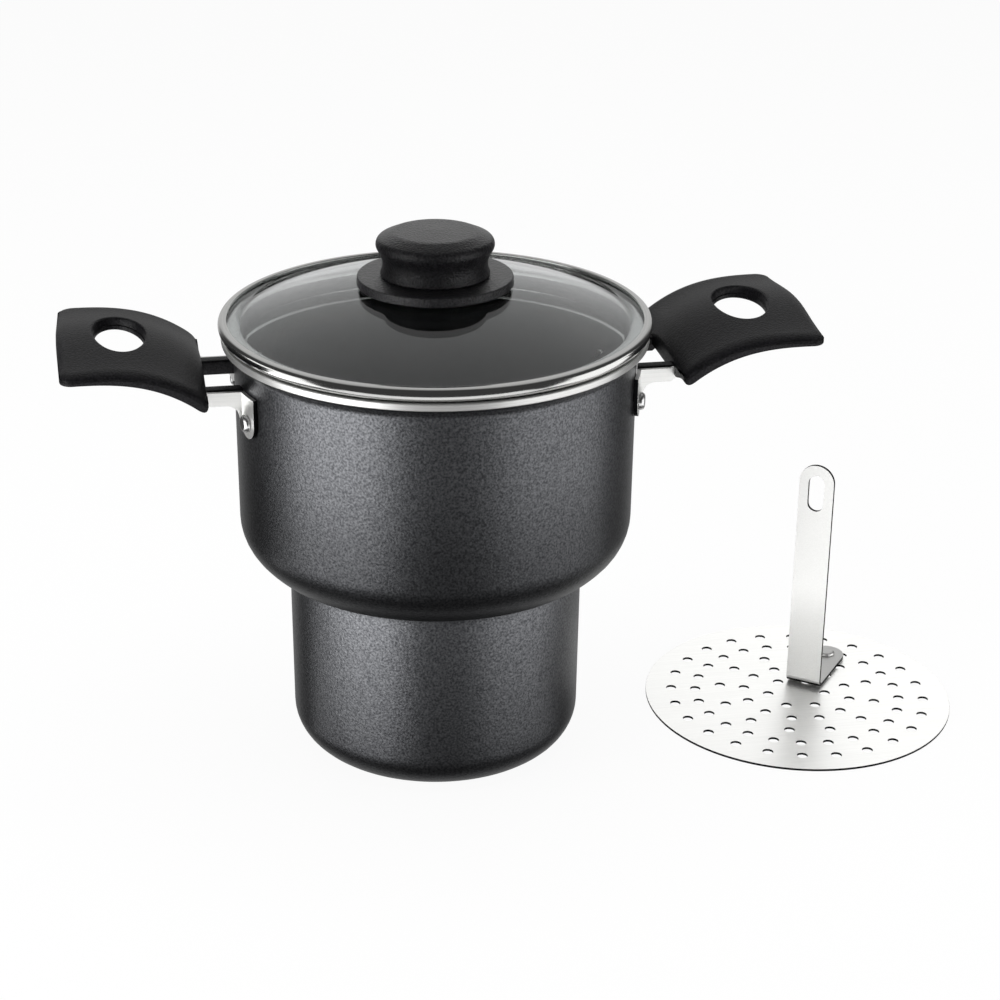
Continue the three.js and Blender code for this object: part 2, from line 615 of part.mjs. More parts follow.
function strainerRivetHole() {
  const centre = new THREE.Vector2(0, strainerRivetOffset);
  return roundHole(centre, STRAINER_RIVET_RADIUS + HOLE_CLEARANCE, FASTENER_SEGMENTS);
}

// The lifting strip: an upright with a rounded top and a slot, bent at its foot onto the disc.
function strainerStrip() {
  const half = STRIP_WIDTH / 2;
  const bendOuter = STRIP_BEND + STRIP_SHEET;
  const top = footBottom + STRIP_HEIGHT;
  const upright = new THREE.Shape();
  upright.moveTo(-half, footBottom + bendOuter);
  upright.lineTo(half, footBottom + bendOuter);
  upright.lineTo(half, top - half);
  upright.absarc(0, top - half, half, 0, Math.PI);
  const slot = new THREE.Path();
  const [slotHalf, slotTop] = [SLOT_WIDTH / 2, top - SLOT_DROP - SLOT_WIDTH / 2];
  const slotBottom = slotTop - SLOT_LENGTH + SLOT_WIDTH;
  slot.absarc(0, slotTop, slotHalf, 0, Math.PI);
  slot.absarc(0, slotBottom, slotHalf, Math.PI, 2 * Math.PI);
  upright.holes.push(slot);
  const settings = { depth: STRIP_SHEET, bevelEnabled: false, curveSegments: ARC_SEGMENTS };
  const standing = new THREE.ExtrudeGeometry(upright, settings)
    .rotateX(Math.PI / 2)
    .translate(0, STRIP_OFFSET + STRIP_SHEET, 0);
  const foot = new THREE.Shape();
  foot.moveTo(half, STRIP_OFFSET + bendOuter);
  foot.lineTo(half, strainerRivetOffset);
  foot.absarc(0, strainerRivetOffset, half, 0, Math.PI);
  foot.lineTo(-half, STRIP_OFFSET + bendOuter);
  foot.holes.push(strainerRivetHole());
  const lying = new THREE.ExtrudeGeometry(foot, settings).translate(0, 0, footBottom);
  const bend = new THREE.Shape();
  bend.absarc(0, 0, bendOuter, Math.PI, 1.5 * Math.PI);
  bend.absarc(0, 0, STRIP_BEND, 1.5 * Math.PI, Math.PI, true);
  const bent = new THREE.ExtrudeGeometry(bend, { ...settings, depth: STRIP_WIDTH })
    .rotateX(Math.PI / 2)
    .rotateZ(Math.PI / 2)
    .translate(-half, STRIP_OFFSET + bendOuter, footBottom + bendOuter);
  return shaped(solid(standing).add(solid(bent)).add(solid(lying)));
}

function strainerRivet() {
  const seat = footBottom + STRIP_SHEET + RIVET_GAP;
  return screw(STRAINER_RIVET_RADIUS, seat, STRAINER_RIVET_HEAD_RADIUS, STRAINER_RIVET_HEAD_HEIGHT)
    .rotateX(Math.PI)
    .translate(0, strainerRivetOffset, seat);
}

function piece(name, geometry, finish) {
  geometry.computeVertexNormals();
  const mesh = new THREE.Mesh(geometry, new THREE.MeshStandardMaterial(finish));
  mesh.name = name;
  return mesh;
}

const steamer = new THREE.Group();
steamer.add(piece('pot_body', potBody(), graphiteCoating));

const gasketTop = domeHeight(GASKET_RADIUS) - GLASS_THICKNESS - RIVET_GAP;
const washerTop = gasketTop - GASKET_THICKNESS - RIVET_GAP;
const screwSeat = washerTop - WASHER_THICKNESS - RIVET_GAP;
const insertBottom = gripBottom + SEAT_GAP;
const insertTop = insertBottom + INSERT_LENGTH;
const knobScrewLength = insertTop - screwSeat - KNOB_SCREW_RADIUS / 2;
const knobScrew = screw(KNOB_SCREW_RADIUS, knobScrewLength, KNOB_SCREW_HEAD_RADIUS, KNOB_SCREW_HEAD_HEIGHT);
steamer.add(piece('lid_glass', lidGlass(), clearGlass));
steamer.add(piece('lid_band', lidBand(), polishedSteel));
steamer.add(piece('knob_collar', knobCollar(), bakelite));
steamer.add(piece('knob_grip', knobGrip(), bakelite));
steamer.add(piece('knob_insert', bored(INSERT_RADIUS, insertBottom, insertTop), brass));
steamer.add(piece('knob_gasket', bored(GASKET_RADIUS, gasketTop - GASKET_THICKNESS, gasketTop), rubber));
const knobWasher = bored(WASHER_RADIUS, washerTop - WASHER_THICKNESS, washerTop);
steamer.add(piece('knob_washer', knobWasher, polishedSteel));
steamer.add(piece('knob_screw', knobScrew.translate(0, 0, screwSeat), polishedSteel));

// The left side is the right side turned half round, so its front is the right side's back.
for (const [side, turn, front] of [['right', 0, -1], ['left', Math.PI, 1]]) {
  const group = new THREE.Group();
  group.rotation.z = turn;
  const handleScrew = screw(
    HANDLE_SCREW_RADIUS,
    HANDLE_SCREW_LENGTH,
    HANDLE_SCREW_HEAD_RADIUS,
    HANDLE_SCREW_HEAD_HEIGHT,
  );
  group.add(piece(`${side}_handle`, handleBody(), bakelite));
  group.add(piece(`${side}_bracket`, bracketBody(), satinSteel));
  group.add(piece(`${side}_handle_screw`, onPlate(handleScrew.translate(0, 0, -RIVET_GAP)), polishedSteel));
  for (const [place, sign] of [['front', front], ['back', -front]]) {
    const rivet = piece(`${side}_${place}_rivet`, wallRivet(), aluminium);
    rivet.rotation.z = sign * tabAngle;
    rivet.position.z = rivetHeight;
    group.add(rivet);
  }
  steamer.add(group);
}

const strainer = new THREE.Group();
strainer.position.set(strainerX, STRAINER_Y, 0);
strainer.rotation.z = THREE.MathUtils.degToRad(STRAINER_TURN);
strainer.add(piece('strainer_disc', strainerDisc(), satinSteel));
strainer.add(piece('strainer_strip', strainerStrip(), satinSteel));
strainer.add(piece('strainer_rivet', strainerRivet(), satinSteel));
steamer.add(strainer);

export default steamer;
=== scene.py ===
"""Couscous steamer: finished surfaces, materials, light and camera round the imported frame.

Sizes are in millimetres in the classes and in metres in Blender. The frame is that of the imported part:
+Z is up, the origin is the centre of the pot's base, the handles lie along X and the front is at -Y.
"""

import logging
import math
from collections.abc import Mapping, Sequence
from dataclasses import dataclass, field
from enum import Enum
from typing import Any

import bmesh
import bpy
import numpy as np
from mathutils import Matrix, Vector


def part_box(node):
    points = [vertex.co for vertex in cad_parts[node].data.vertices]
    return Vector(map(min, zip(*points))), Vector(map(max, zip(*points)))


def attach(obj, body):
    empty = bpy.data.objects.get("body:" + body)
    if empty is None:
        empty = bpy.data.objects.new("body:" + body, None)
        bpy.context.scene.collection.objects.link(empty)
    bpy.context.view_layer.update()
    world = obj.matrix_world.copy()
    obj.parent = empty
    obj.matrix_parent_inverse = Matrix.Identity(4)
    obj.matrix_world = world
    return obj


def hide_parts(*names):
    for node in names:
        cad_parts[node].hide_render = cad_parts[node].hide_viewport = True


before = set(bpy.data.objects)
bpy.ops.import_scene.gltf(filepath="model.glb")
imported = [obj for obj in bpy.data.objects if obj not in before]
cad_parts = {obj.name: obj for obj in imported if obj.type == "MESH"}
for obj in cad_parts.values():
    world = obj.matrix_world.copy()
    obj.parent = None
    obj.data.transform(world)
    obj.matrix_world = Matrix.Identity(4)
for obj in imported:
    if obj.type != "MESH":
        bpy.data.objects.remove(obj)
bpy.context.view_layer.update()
LOG = logging.getLogger("steamer")
MM = 0.001
TINY = 1e-9
WHITE = (1.0, 1.0, 1.0, 1.0)
# The sockets of a colour Mix node, which share their names with those for other types.
SHARE, FIRST, SECOND, MIXED = 0, 6, 7, 2
Corner = tuple[float, float, float]
Socket = bpy.types.NodeSocket
Tree = bpy.types.NodeTree


class Body(Enum):
    """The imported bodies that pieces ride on."""

    POT = "pot"
    LID = "lid"
    STRAINER = "strainer"


class Side(Enum):
    """The two handle sides, by the turn about Z that carries the right side there."""

    RIGHT = 0.0
    LEFT = math.pi


class Lay(Enum):
    """How the grain of a finish lies on a piece."""

    EVEN = "the same every way"
    LINES = "drawn out along X"
    RINGS = "drawn out round Z"


class Edges(Enum):
    """How edges are finished: a bevel's width in millimetres, and the least angle of an edge that gets it."""

    PLAIN = (0.0, 0.0)
    STAMPED = (0.22, 40.0)
    SHEARED = (0.12, 50.0)

    def cut(self, piece: bpy.types.Object) -> None:
        """Bevels the edges of a piece and keeps its faces flat, unless its edges stay plain.

        Args:
            piece: The piece's object.
        """
        if self is Edges.PLAIN:
            return
        width, angle = self.value
        bevel = piece.modifiers.new("edges", "BEVEL")
        bevel.width, bevel.segments = width * MM, 2
        bevel.limit_method, bevel.angle_limit = "ANGLE", math.radians(angle)
        piece.modifiers.new("flat_faces", "WEIGHTED_NORMAL").keep_sharp = True


@dataclass
class Surface:
    """A mesh in the making: points in millimetres, and blocks of faces with as many corners."""

    points: np.ndarray
    faces: list[np.ndarray]

    def __add__(self, other: "Surface") -> "Surface":
        """Puts two surfaces into one."""
        shifted = [block + len(self.points) for block in other.faces]
        return Surface(np.concatenate([self.points, other.points]), [*self.faces, *shifted])

    def turned(self, angle: float, start: int = 0, toward: int = 1) -> "Surface":
        """Turns the surface from one axis toward another, which is about Z unless other axes are given.

        Args:
            angle: The turn in radians.
            start: The number of the axis that it turns from.
            toward: The number of the axis that it turns toward.

        Returns:
            The turned surface.
        """
        turn = np.eye(3)
        turn[start, start] = turn[toward, toward] = math.cos(angle)
        turn[toward, start], turn[start, toward] = math.sin(angle), -math.sin(angle)
        return Surface(self.points @ turn.T, self.faces)

    def moved(self, x: float, y: float, z: float) -> "Surface":
        """Carries the surface by a distance along each axis."""
        return Surface(self.points + np.array([x, y, z]), self.faces)


def quads(rows: int, columns: int, close_rows: bool, close_columns: bool) -> np.ndarray:
    """Numbers the four-sided faces of a grid of points.

    Args:
        rows: How many rows of points the grid has.
        columns: How many points are in a row.
        close_rows: Whether the last row joins the first.
        close_columns: Whether the end of each row joins its start.

    Returns:
        One row of four point numbers for each face.
    """
    row = np.arange(rows if close_rows else rows - 1)
    column = np.arange(columns if close_columns else columns - 1)
    i, j = np.meshgrid(row, column, indexing="ij")
    here, below, beside = i * columns, (i + 1) % rows * columns, (j + 1) % columns
    return np.stack([here + j, here + beside, below + beside, below + j], -1).reshape(-1, 4)


def loft(
    grid: np.ndarray, close_rows: bool = False, close_columns: bool = False, capped: bool = False
) -> Surface:
    """Makes a surface from a grid of points, each row of which is one section.

    Args:
        grid: The points, as rows by columns by three.
        close_rows: Whether the last section joins the first.
        close_columns: Whether each section is a closed loop.
        capped: Whether the first and last section are closed by flat faces.

    Returns:
        The surface.
    """
    rows, columns = grid.shape[:2]
    faces = [quads(rows, columns, close_rows, close_columns)]
    if capped:
        first = np.arange(columns)
        faces.append(np.stack([first[::-1], first + (rows - 1) * columns]))
    return Surface(grid.reshape(-1, 3), faces)


def revolved(profile: np.ndarray, segments: int) -> Surface:
    """Turns a closed outline about Z: its (r, h) at the turn t gives x = r cos t, y = r sin t and z = h.

    Args:
        profile: The outline's (radius, height) points, in order.
        segments: How many steps one turn has.

    Returns:
        The closed surface.
    """
    turn = np.linspace(0.0, 2.0 * np.pi, segments, endpoint=False)
    radius, height = profile[:, :1], np.repeat(profile[:, 1:], segments, 1)
    grid = np.stack([radius * np.cos(turn), radius * np.sin(turn), height], -1)
    return loft(grid, close_rows=True, close_columns=True)


def lathe(corners: Sequence[Corner], segments: int = 40, longest: float = math.inf) -> Surface:
    """Rounds the corners of an outline, divides its long edges and turns it about Z.

    Args:
        corners: Each corner's radius and height, and the radius of its arc.
        segments: How many steps one turn has.
        longest: The longest edge that the outline may have.

    Returns:
        The closed surface.
    """
    return revolved(refined(rounded(corners), longest), segments)


def carried_across(outline: np.ndarray, start: float, stop: float) -> Surface:
    """Carries an outline, drawn in the X-Z plane, straight along Y and closes both ends."""
    sections = [np.insert(outline, 1, place, axis=1) for place in (start, stop)]
    return loft(np.stack(sections), close_columns=True, capped=True)


def rounded(corners: Sequence[Corner], step: float = 7.0) -> np.ndarray:
    """Rounds a closed outline's corners by arcs tangent to both edges, smaller where two share a short edge.

    Args:
        corners: Each corner's two coordinates and the radius of its arc.
        step: The turn between points on an arc, in degrees.

    Returns:
        The outline's points, in order.
    """
    least_span = 1e-3
    places, radii = np.array(corners)[:, :2], np.array(corners)[:, 2]
    back, ahead = np.roll(places, 1, 0) - places, np.roll(places, -1, 0) - places
    length = np.linalg.norm(ahead, axis=1)
    back, ahead = back / np.linalg.norm(back, axis=1)[:, None], ahead / length[:, None]
    half = np.arccos(np.clip((back * ahead).sum(1), -1.0, 1.0)) / 2.0
    need = radii / np.tan(half)
    share = np.minimum(1.0, length / np.maximum(need + np.roll(need, -1), TINY))
    reach = need * np.minimum(share, np.roll(share, 1))
    arcs = []
    for place, from_, to, turn, span in zip(places, back, ahead, half, reach):
        if span < least_span:
            arcs.append(place[None])
            continue
        middle = (from_ + to) / np.linalg.norm(from_ + to)
        centre = place + middle * span / math.cos(turn)
        start = place + from_ * span - centre
        sweep = math.pi - 2.0 * turn
        side = np.sign(np.cross(start, place - centre))
        angle = side * np.linspace(0.0, sweep, max(2, round(math.degrees(sweep) / step) + 1))
        arcs.append(centre + np.outer(np.cos(angle), start) + np.outer(np.sin(angle), [-start[1], start[0]]))
    return np.concatenate(arcs)


def refined(outline: np.ndarray, longest: float) -> np.ndarray:
    """Divides the long edges of a closed outline evenly, so that none is longer than a given length.

    Args:
        outline: The outline's points, in order.
        longest: The longest edge that may stay.

    Returns:
        The outline with more points.
    """
    edge = np.roll(outline, -1, 0) - outline
    count = np.maximum(1, np.ceil(np.linalg.norm(edge, axis=1) / longest)).astype(int)
    start = np.repeat(np.arange(len(outline)), count)
    part = np.arange(count.sum()) - np.repeat(np.cumsum(count) - count, count)
    return outline[start] + edge[start] * (part / count[start])[:, None]


def resampled(loop: np.ndarray, count: int) -> np.ndarray:
    """Spaces a number of points evenly along a closed loop, from its first point on.

    Args:
        loop: The loop's points, in order.
        count: How many points to give back.

    Returns:
        The evenly spaced points.
    """
    closed = np.concatenate([loop, loop[:1]])
    travel = np.concatenate([[0.0], np.cumsum(np.linalg.norm(np.diff(closed, axis=0), axis=1))])
    wanted = np.linspace(0.0, travel[-1], count, endpoint=False)
    return np.stack([np.interp(wanted, travel, closed[:, axis]) for axis in (0, 1)], -1)


def linear(colour: str) -> tuple[float, float, float, float]:
    """Turns an sRGB hex colour such as "#4d4d50" into linear red, green, blue and a full alpha.

    Args:
        colour: The hex colour.

    Returns:
        The linear colour.
    """
    parts = np.array([int(colour[i:i + 2], 16) for i in (1, 3, 5)]) / 255.0
    red, green, blue = np.where(parts <= 0.04045, parts / 12.92, ((parts + 0.055) / 1.055) ** 2.4).tolist()
    return red, green, blue, 1.0


def add_node(tree: Tree, kind: str, inputs: Mapping[str | int, Any] | None = None, **settings: Any) -> Any:
    """Adds a shader node to a tree, with its settings and links.

    Args:
        tree: The node tree.
        kind: The node's type name, without the words that all shader nodes start with.
        inputs: For each input, by name or number, a socket to link from or a value to set.
        **settings: The node's own properties.

    Returns:
        The node.
    """
    node = tree.nodes.new(f"ShaderNode{kind}")
    for name, value in settings.items():
        setattr(node, name, value)
    for name, value in (inputs or {}).items():
        if isinstance(value, Socket):
            tree.links.new(value, node.inputs[name])
        else:
            node.inputs[name].default_value = value
    return node


@dataclass(frozen=True)
class Finish:
    """A finish on a real material: its colours, its gloss, and the size of its grain in millimetres."""

    name: str
    colour: str
    second_colour: str
    roughness: float
    metallic: float = 0.0
    grain: float = 1.0
    relief: float = 0.02
    sheen: float = 0.5
    lay: Lay = Lay.EVEN
    line_length: float = 30.0

    def material(self) -> bpy.types.Material:
        """Gives the Blender material, which is made once and then shared.

        Returns:
            The material.
        """
        made = bpy.data.materials.get(self.name)
        if made is None:
            made = bpy.data.materials.new(self.name)
            made.use_nodes = True
            tree = made.node_tree
            shader = tree.nodes["Principled BSDF"]
            for name, value in (
                ("Base Color", linear(self.colour)),
                ("Roughness", self.roughness),
                ("Metallic", self.metallic),
                ("Specular IOR Level", self.sheen),
            ):
                shader.inputs[name].default_value = value
            self.detail(tree, shader, add_node(tree, "TexCoord").outputs["Object"])
        return made

    def detail(self, tree: Tree, shader: Any, place: Socket) -> None:
        """Adds the grain: mottled colour and a fine relief from one noise, drawn out as the grain lies.

        Lines are noise whose place is shrunk along X. Rings are noise that depends only on the height and on
        the distance from the axis.

        Args:
            tree: The material's node tree.
            shader: The material's shader.
            place: The socket with the object's coordinates.
        """
        octaves = 2.0
        if self.lay is Lay.LINES:
            octaves, shrunk = 3.0, (self.grain / self.line_length, 1.0, 1.0)
            place = add_node(tree, "Mapping", {"Vector": place, "Scale": shrunk}).outputs["Vector"]
        elif self.lay is Lay.RINGS:
            parts = add_node(tree, "SeparateXYZ", {"Vector": place}).outputs
            flat = add_node(tree, "CombineXYZ", {"X": parts["X"], "Y": parts["Y"]}).outputs["Vector"]
            radius = add_node(tree, "VectorMath", {0: flat}, operation="LENGTH").outputs["Value"]
            place = add_node(tree, "CombineXYZ", {"X": radius, "Y": parts["Z"]}).outputs["Vector"]
        grain = self.noise(tree, place, self.grain, octaves)
        self.mottle(tree, shader, grain)
        self.emboss(tree, shader, grain)

    def noise(self, tree: Tree, place: Socket, width: float, octaves: float) -> Socket:
        """Gives noise whose lumps have a width in millimetres, with so many finer octaves."""
        inputs = {"Vector": place, "Scale": 1.0 / (width * MM), "Detail": octaves}
        return add_node(tree, "TexNoise", inputs).outputs["Fac"]

    def mottle(self, tree: Tree, shader: Any, pattern: Socket) -> None:
        """Mixes the finish's two colours by a pattern, whose middle range takes one to the other.

        Args:
            tree: The material's node tree.
            shader: The material's shader.
            pattern: The socket with the pattern.
        """
        spread = add_node(tree, "MapRange", {"Value": pattern, "From Min": 0.3, "From Max": 0.7})
        colours = {FIRST: linear(self.colour), SECOND: linear(self.second_colour)}
        mixed = add_node(tree, "Mix", {SHARE: spread.outputs["Result"], **colours}, data_type="RGBA")
        tree.links.new(mixed.outputs[MIXED], shader.inputs["Base Color"])

    def emboss(self, tree: Tree, shader: Any, pattern: Socket) -> None:
        """Raises the surface by a pattern, to the finish's relief in millimetres."""
        bump = add_node(tree, "Bump", {"Height": pattern, "Strength": 1.0, "Distance": self.relief * MM})
        tree.links.new(bump.outputs["Normal"], shader.inputs["Normal"])


@dataclass(frozen=True)
class FleckedCoating(Finish):
    """A sprayed and baked coating: metal flakes, a leathery skin, and painted shade that depends on the
    height.
    """

    fleck: float = 0.5
    # The tones are painted shade, not a colour of the coating: heights in millimetres and the share of colour
    # kept.
    tones: tuple[tuple[float, float], ...] = ()

    def detail(self, tree: Tree, shader: Any, place: Socket) -> None:
        """Adds flecks of a lighter grey, a skin of soft lumps one grain wide, and the painted shade by
        height.

        Args:
            tree: The material's node tree.
            shader: The material's shader.
            place: The socket with the object's coordinates.
        """
        self.mottle(tree, shader, self.noise(tree, place, self.fleck, 1.0))
        self.emboss(tree, shader, self.noise(tree, place, self.grain, 1.5))
        if self.tones:
            self.shade(tree, shader, add_node(tree, "SeparateXYZ", {"Vector": place}).outputs["Z"])

    def shade(self, tree: Tree, shader: Any, height: Socket) -> None:
        """Paints shade by the height: each tone is a height in millimetres and the share of colour kept
        there.

        Args:
            tree: The material's node tree.
            shader: The material's shader.
            height: The socket with the height.
        """
        top = self.tones[-1][0] * MM
        share = add_node(tree, "MapRange", {"Value": height, "From Max": top}).outputs["Result"]
        ramp = add_node(tree, "ValToRGB", {"Fac": share})
        stops = ramp.color_ramp.elements
        for _ in self.tones[2:]:
            stops.new(1.0)
        for stop, (level, tone) in zip(stops, self.tones):
            stop.position, stop.color = level * MM / top, (tone, tone, tone, 1.0)
        colour = shader.inputs["Base Color"].links[0].from_socket
        inputs = {SHARE: 1.0, FIRST: colour, SECOND: ramp.outputs["Color"]}
        shaded = add_node(tree, "Mix", inputs, data_type="RGBA", blend_type="MULTIPLY")
        tree.links.new(shaded.outputs[MIXED], shader.inputs["Base Color"])


@dataclass(frozen=True)
class ClearGlass(Finish):
    """Tempered glass: clear, with the faint waviness that heating leaves."""

    ior: float = 1.42

    def detail(self, tree: Tree, shader: Any, place: Socket) -> None:
        """Lets light through, and adds waves one grain wide.

        Args:
            tree: The material's node tree.
            shader: The material's shader.
            place: The socket with the object's coordinates.
        """
        shader.inputs["Transmission Weight"].default_value = 1.0
        shader.inputs["IOR"].default_value = self.ior
        waves = self.noise(tree, place, self.grain, 0.0)
        self.mottle(tree, shader, waves)
        self.emboss(tree, shader, waves)


# PTFE coating sprayed on pressed aluminium: a dark metallic grey with a satin sheen and a fine leathery skin,
# whose flecks and lumps are drawn about twice as coarse as they are, so that they show.
GRAPHITE = FleckedCoating(
    "ptfe_coating_graphite", "#4d4e51", "#7c7d80", 0.4, 0.95, grain=0.95, relief=0.08, fleck=0.85,
    # The tones paint shade on the wall: each section is darker toward its foot and lighter toward its top.
    tones=((4.0, 0.38), (76.0, 1.0), (82.0, 0.31), (112.0, 0.43), (140.0, 0.71), (172.0, 0.87)),
)
# The same coating inside the pot, where it is darker and smoother.
INNER_COATING = FleckedCoating(
    "ptfe_coating_inside", "#232325", "#2c2d2f", 0.5, 0.3, grain=1.2, relief=0.005, fleck=0.6
)
# Aluminium ground bare at the rim: pale, with soft reflections all the way round.
BARE_RIM = Finish("ground_aluminium", "#e6e6e4", "#d6d6d4", 0.34, 0.6, 0.4, 0.006, lay=Lay.RINGS)
# Aluminium turned bare inside the mouth, where the lid's skirt sits: brighter, with clearer reflections.
TURNED_SEAT = Finish("turned_aluminium", "#d6d6d4", "#c2c2c0", 0.24, 1.0, 0.4, 0.006, lay=Lay.RINGS)
# Phenolic resin moulded in a spark-eroded tool: black, with an even grain that breaks up the highlights
# and is drawn coarse enough to show.
PHENOLIC = Finish("moulded_phenolic_black", "#0a0a0c", "#232226", 0.45, 0.0, 0.85, 0.3, sheen=0.25)
# The same moulding compound on the knob, with a stronger grain and a brighter skin.
KNOB_PHENOLIC = Finish("moulded_phenolic_knob", "#060608", "#2c2b2e", 0.42, 0.0, 0.85, 0.4, sheen=0.34)
# Tempered soda-lime glass: clear and faintly grey.
GLASS = ClearGlass("tempered_glass", "#d9dcdc", "#e0e2e2", 0.0, 0.0, 30.0, 0.01)
# Stainless steel rolled and buffed: sharp bright and dark bands.
BUFFED_STEEL = Finish("buffed_stainless_steel", "#dcdcda", "#d2d2d0", 0.17, 1.0, 0.5, 0.002, lay=Lay.RINGS)
# Stainless steel sheet with a satin mill finish: pale, with soft reflections and fine rolling lines.
SATIN_STEEL = Finish("satin_stainless_sheet", "#f4f4f2", "#ececea", 0.36, 0.7, 0.3, 0.001, lay=Lay.LINES)
# The sheared edge of the same sheet: torn and rough, and drawn near black, which is partly painted shade
# where edges and gaps lie in shadow; it also paints the shade under the strip's fold.
SHEARED_EDGE_AND_SHADE = Finish("sheared_steel_edge", "#141416", "#1e1e20", 0.5, 1.0, 0.4, 0.02)
# Aluminium rivets pressed cold: pale grey with soft reflections.
RIVET = Finish("pressed_aluminium", "#d8d8d8", "#cccccc", 0.28, 1.0, 0.5, 0.008)
# Steel screws plated with zinc: a bluish grey with turning marks.
SCREW = Finish("zinc_plated_steel", "#c4c5c6", "#b5b6b8", 0.26, 1.0, 0.35, 0.006, lay=Lay.RINGS)
# Brass turned on a lathe: yellow, bright and ringed.
BRASS = Finish("turned_brass", "#c9a860", "#b8954e", 0.25, 1.0, 0.3, 0.006, lay=Lay.RINGS)
# Moulded silicone rubber: a dull black.
SILICONE = Finish("moulded_silicone_black", "#232323", "#2b2b2b", 0.6, 0.0, 0.6)


def make_object(name: str, surface: Surface, sharp: float) -> bpy.types.Object:
    """Makes a Blender object out of a surface: doubles are merged, poles closed and faces turned outward.

    Args:
        name: The object's name.
        surface: The surface, in millimetres.
        sharp: The angle between faces, in degrees, from which an edge stays sharp.

    Returns:
        The object, at the origin with its place in its mesh.
    """
    mesh = bpy.data.meshes.new(name)
    faces = [face for block in surface.faces for face in block.tolist()]
    mesh.from_pydata((surface.points * MM).tolist(), [], faces)
    work = bmesh.new()
    work.from_mesh(mesh)
    bmesh.ops.remove_doubles(work, verts=work.verts, dist=1e-6)
    bmesh.ops.delete(work, geom=[edge for edge in work.edges if not edge.link_faces], context="EDGES")
    bmesh.ops.recalc_face_normals(work, faces=work.faces)
    work.to_mesh(mesh)
    work.free()
    mesh.shade_smooth()
    mesh.set_sharp_from_angle(angle=math.radians(sharp))
    made = bpy.data.objects.new(name, mesh)
    bpy.context.scene.collection.objects.link(made)
    return made


@dataclass
class SubAssembly:
    """Pieces that belong together: build() makes their meshes and dress() gives them their finishes."""

    pieces: dict[str, bpy.types.Object] = field(default_factory=dict, init=False)

    def add(
        self, name: str, surface: Surface, body: Body, node: str, slot: str,
        sharp: float = 35.0, edges: Edges = Edges.PLAIN,
    ) -> bpy.types.Object:
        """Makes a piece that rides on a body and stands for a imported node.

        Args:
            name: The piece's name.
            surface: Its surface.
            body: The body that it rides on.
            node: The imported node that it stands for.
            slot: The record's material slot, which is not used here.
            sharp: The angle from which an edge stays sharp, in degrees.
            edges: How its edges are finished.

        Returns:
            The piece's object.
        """
        made = make_object(name, surface, sharp)
        edges.cut(made)
        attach(made, body.value)
        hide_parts(node)
        self.pieces[name] = made
        LOG.info("built %s for %s: %d faces", name, node, len(made.data.polygons))
        return made

    def paint(self, name: str, *finishes: Finish) -> bpy.types.Mesh:
        """Gives a piece its finishes, one for each material slot.

        Args:
            name: The piece's name.
            *finishes: The finishes, of which every face has the first until it is given another.

        Returns:
            The piece's mesh.
        """
        mesh = self.pieces[name].data
        for finish in finishes:
            mesh.materials.append(finish.material())
        return mesh


def face_values(mesh: bpy.types.Mesh, name: str) -> tuple[np.ndarray, np.ndarray]:
    """Gives a vector of each face, its "center" or its "normal", as its parts away from Z and along Z.

    Args:
        mesh: The mesh.
        name: The property of the faces to read.

    Returns:
        The parts away from Z, and the parts along Z.
    """
    middle, value = np.empty(len(mesh.polygons) * 3), np.empty(len(mesh.polygons) * 3)
    mesh.polygons.foreach_get("center", middle)
    mesh.polygons.foreach_get(name, value)
    middle, value = middle.reshape(-1, 3), value.reshape(-1, 3)
    away = middle[:, :2] / np.maximum(np.linalg.norm(middle[:, :2], axis=1), TINY)[:, None]
    return (value[:, :2] * away).sum(1), value[:, 2]


def give_faces(mesh: bpy.types.Mesh, finish: np.ndarray) -> None:
    """Gives each face of a mesh one of its finishes, by number."""
    mesh.polygons.foreach_set("material_index", finish.astype(np.int32))


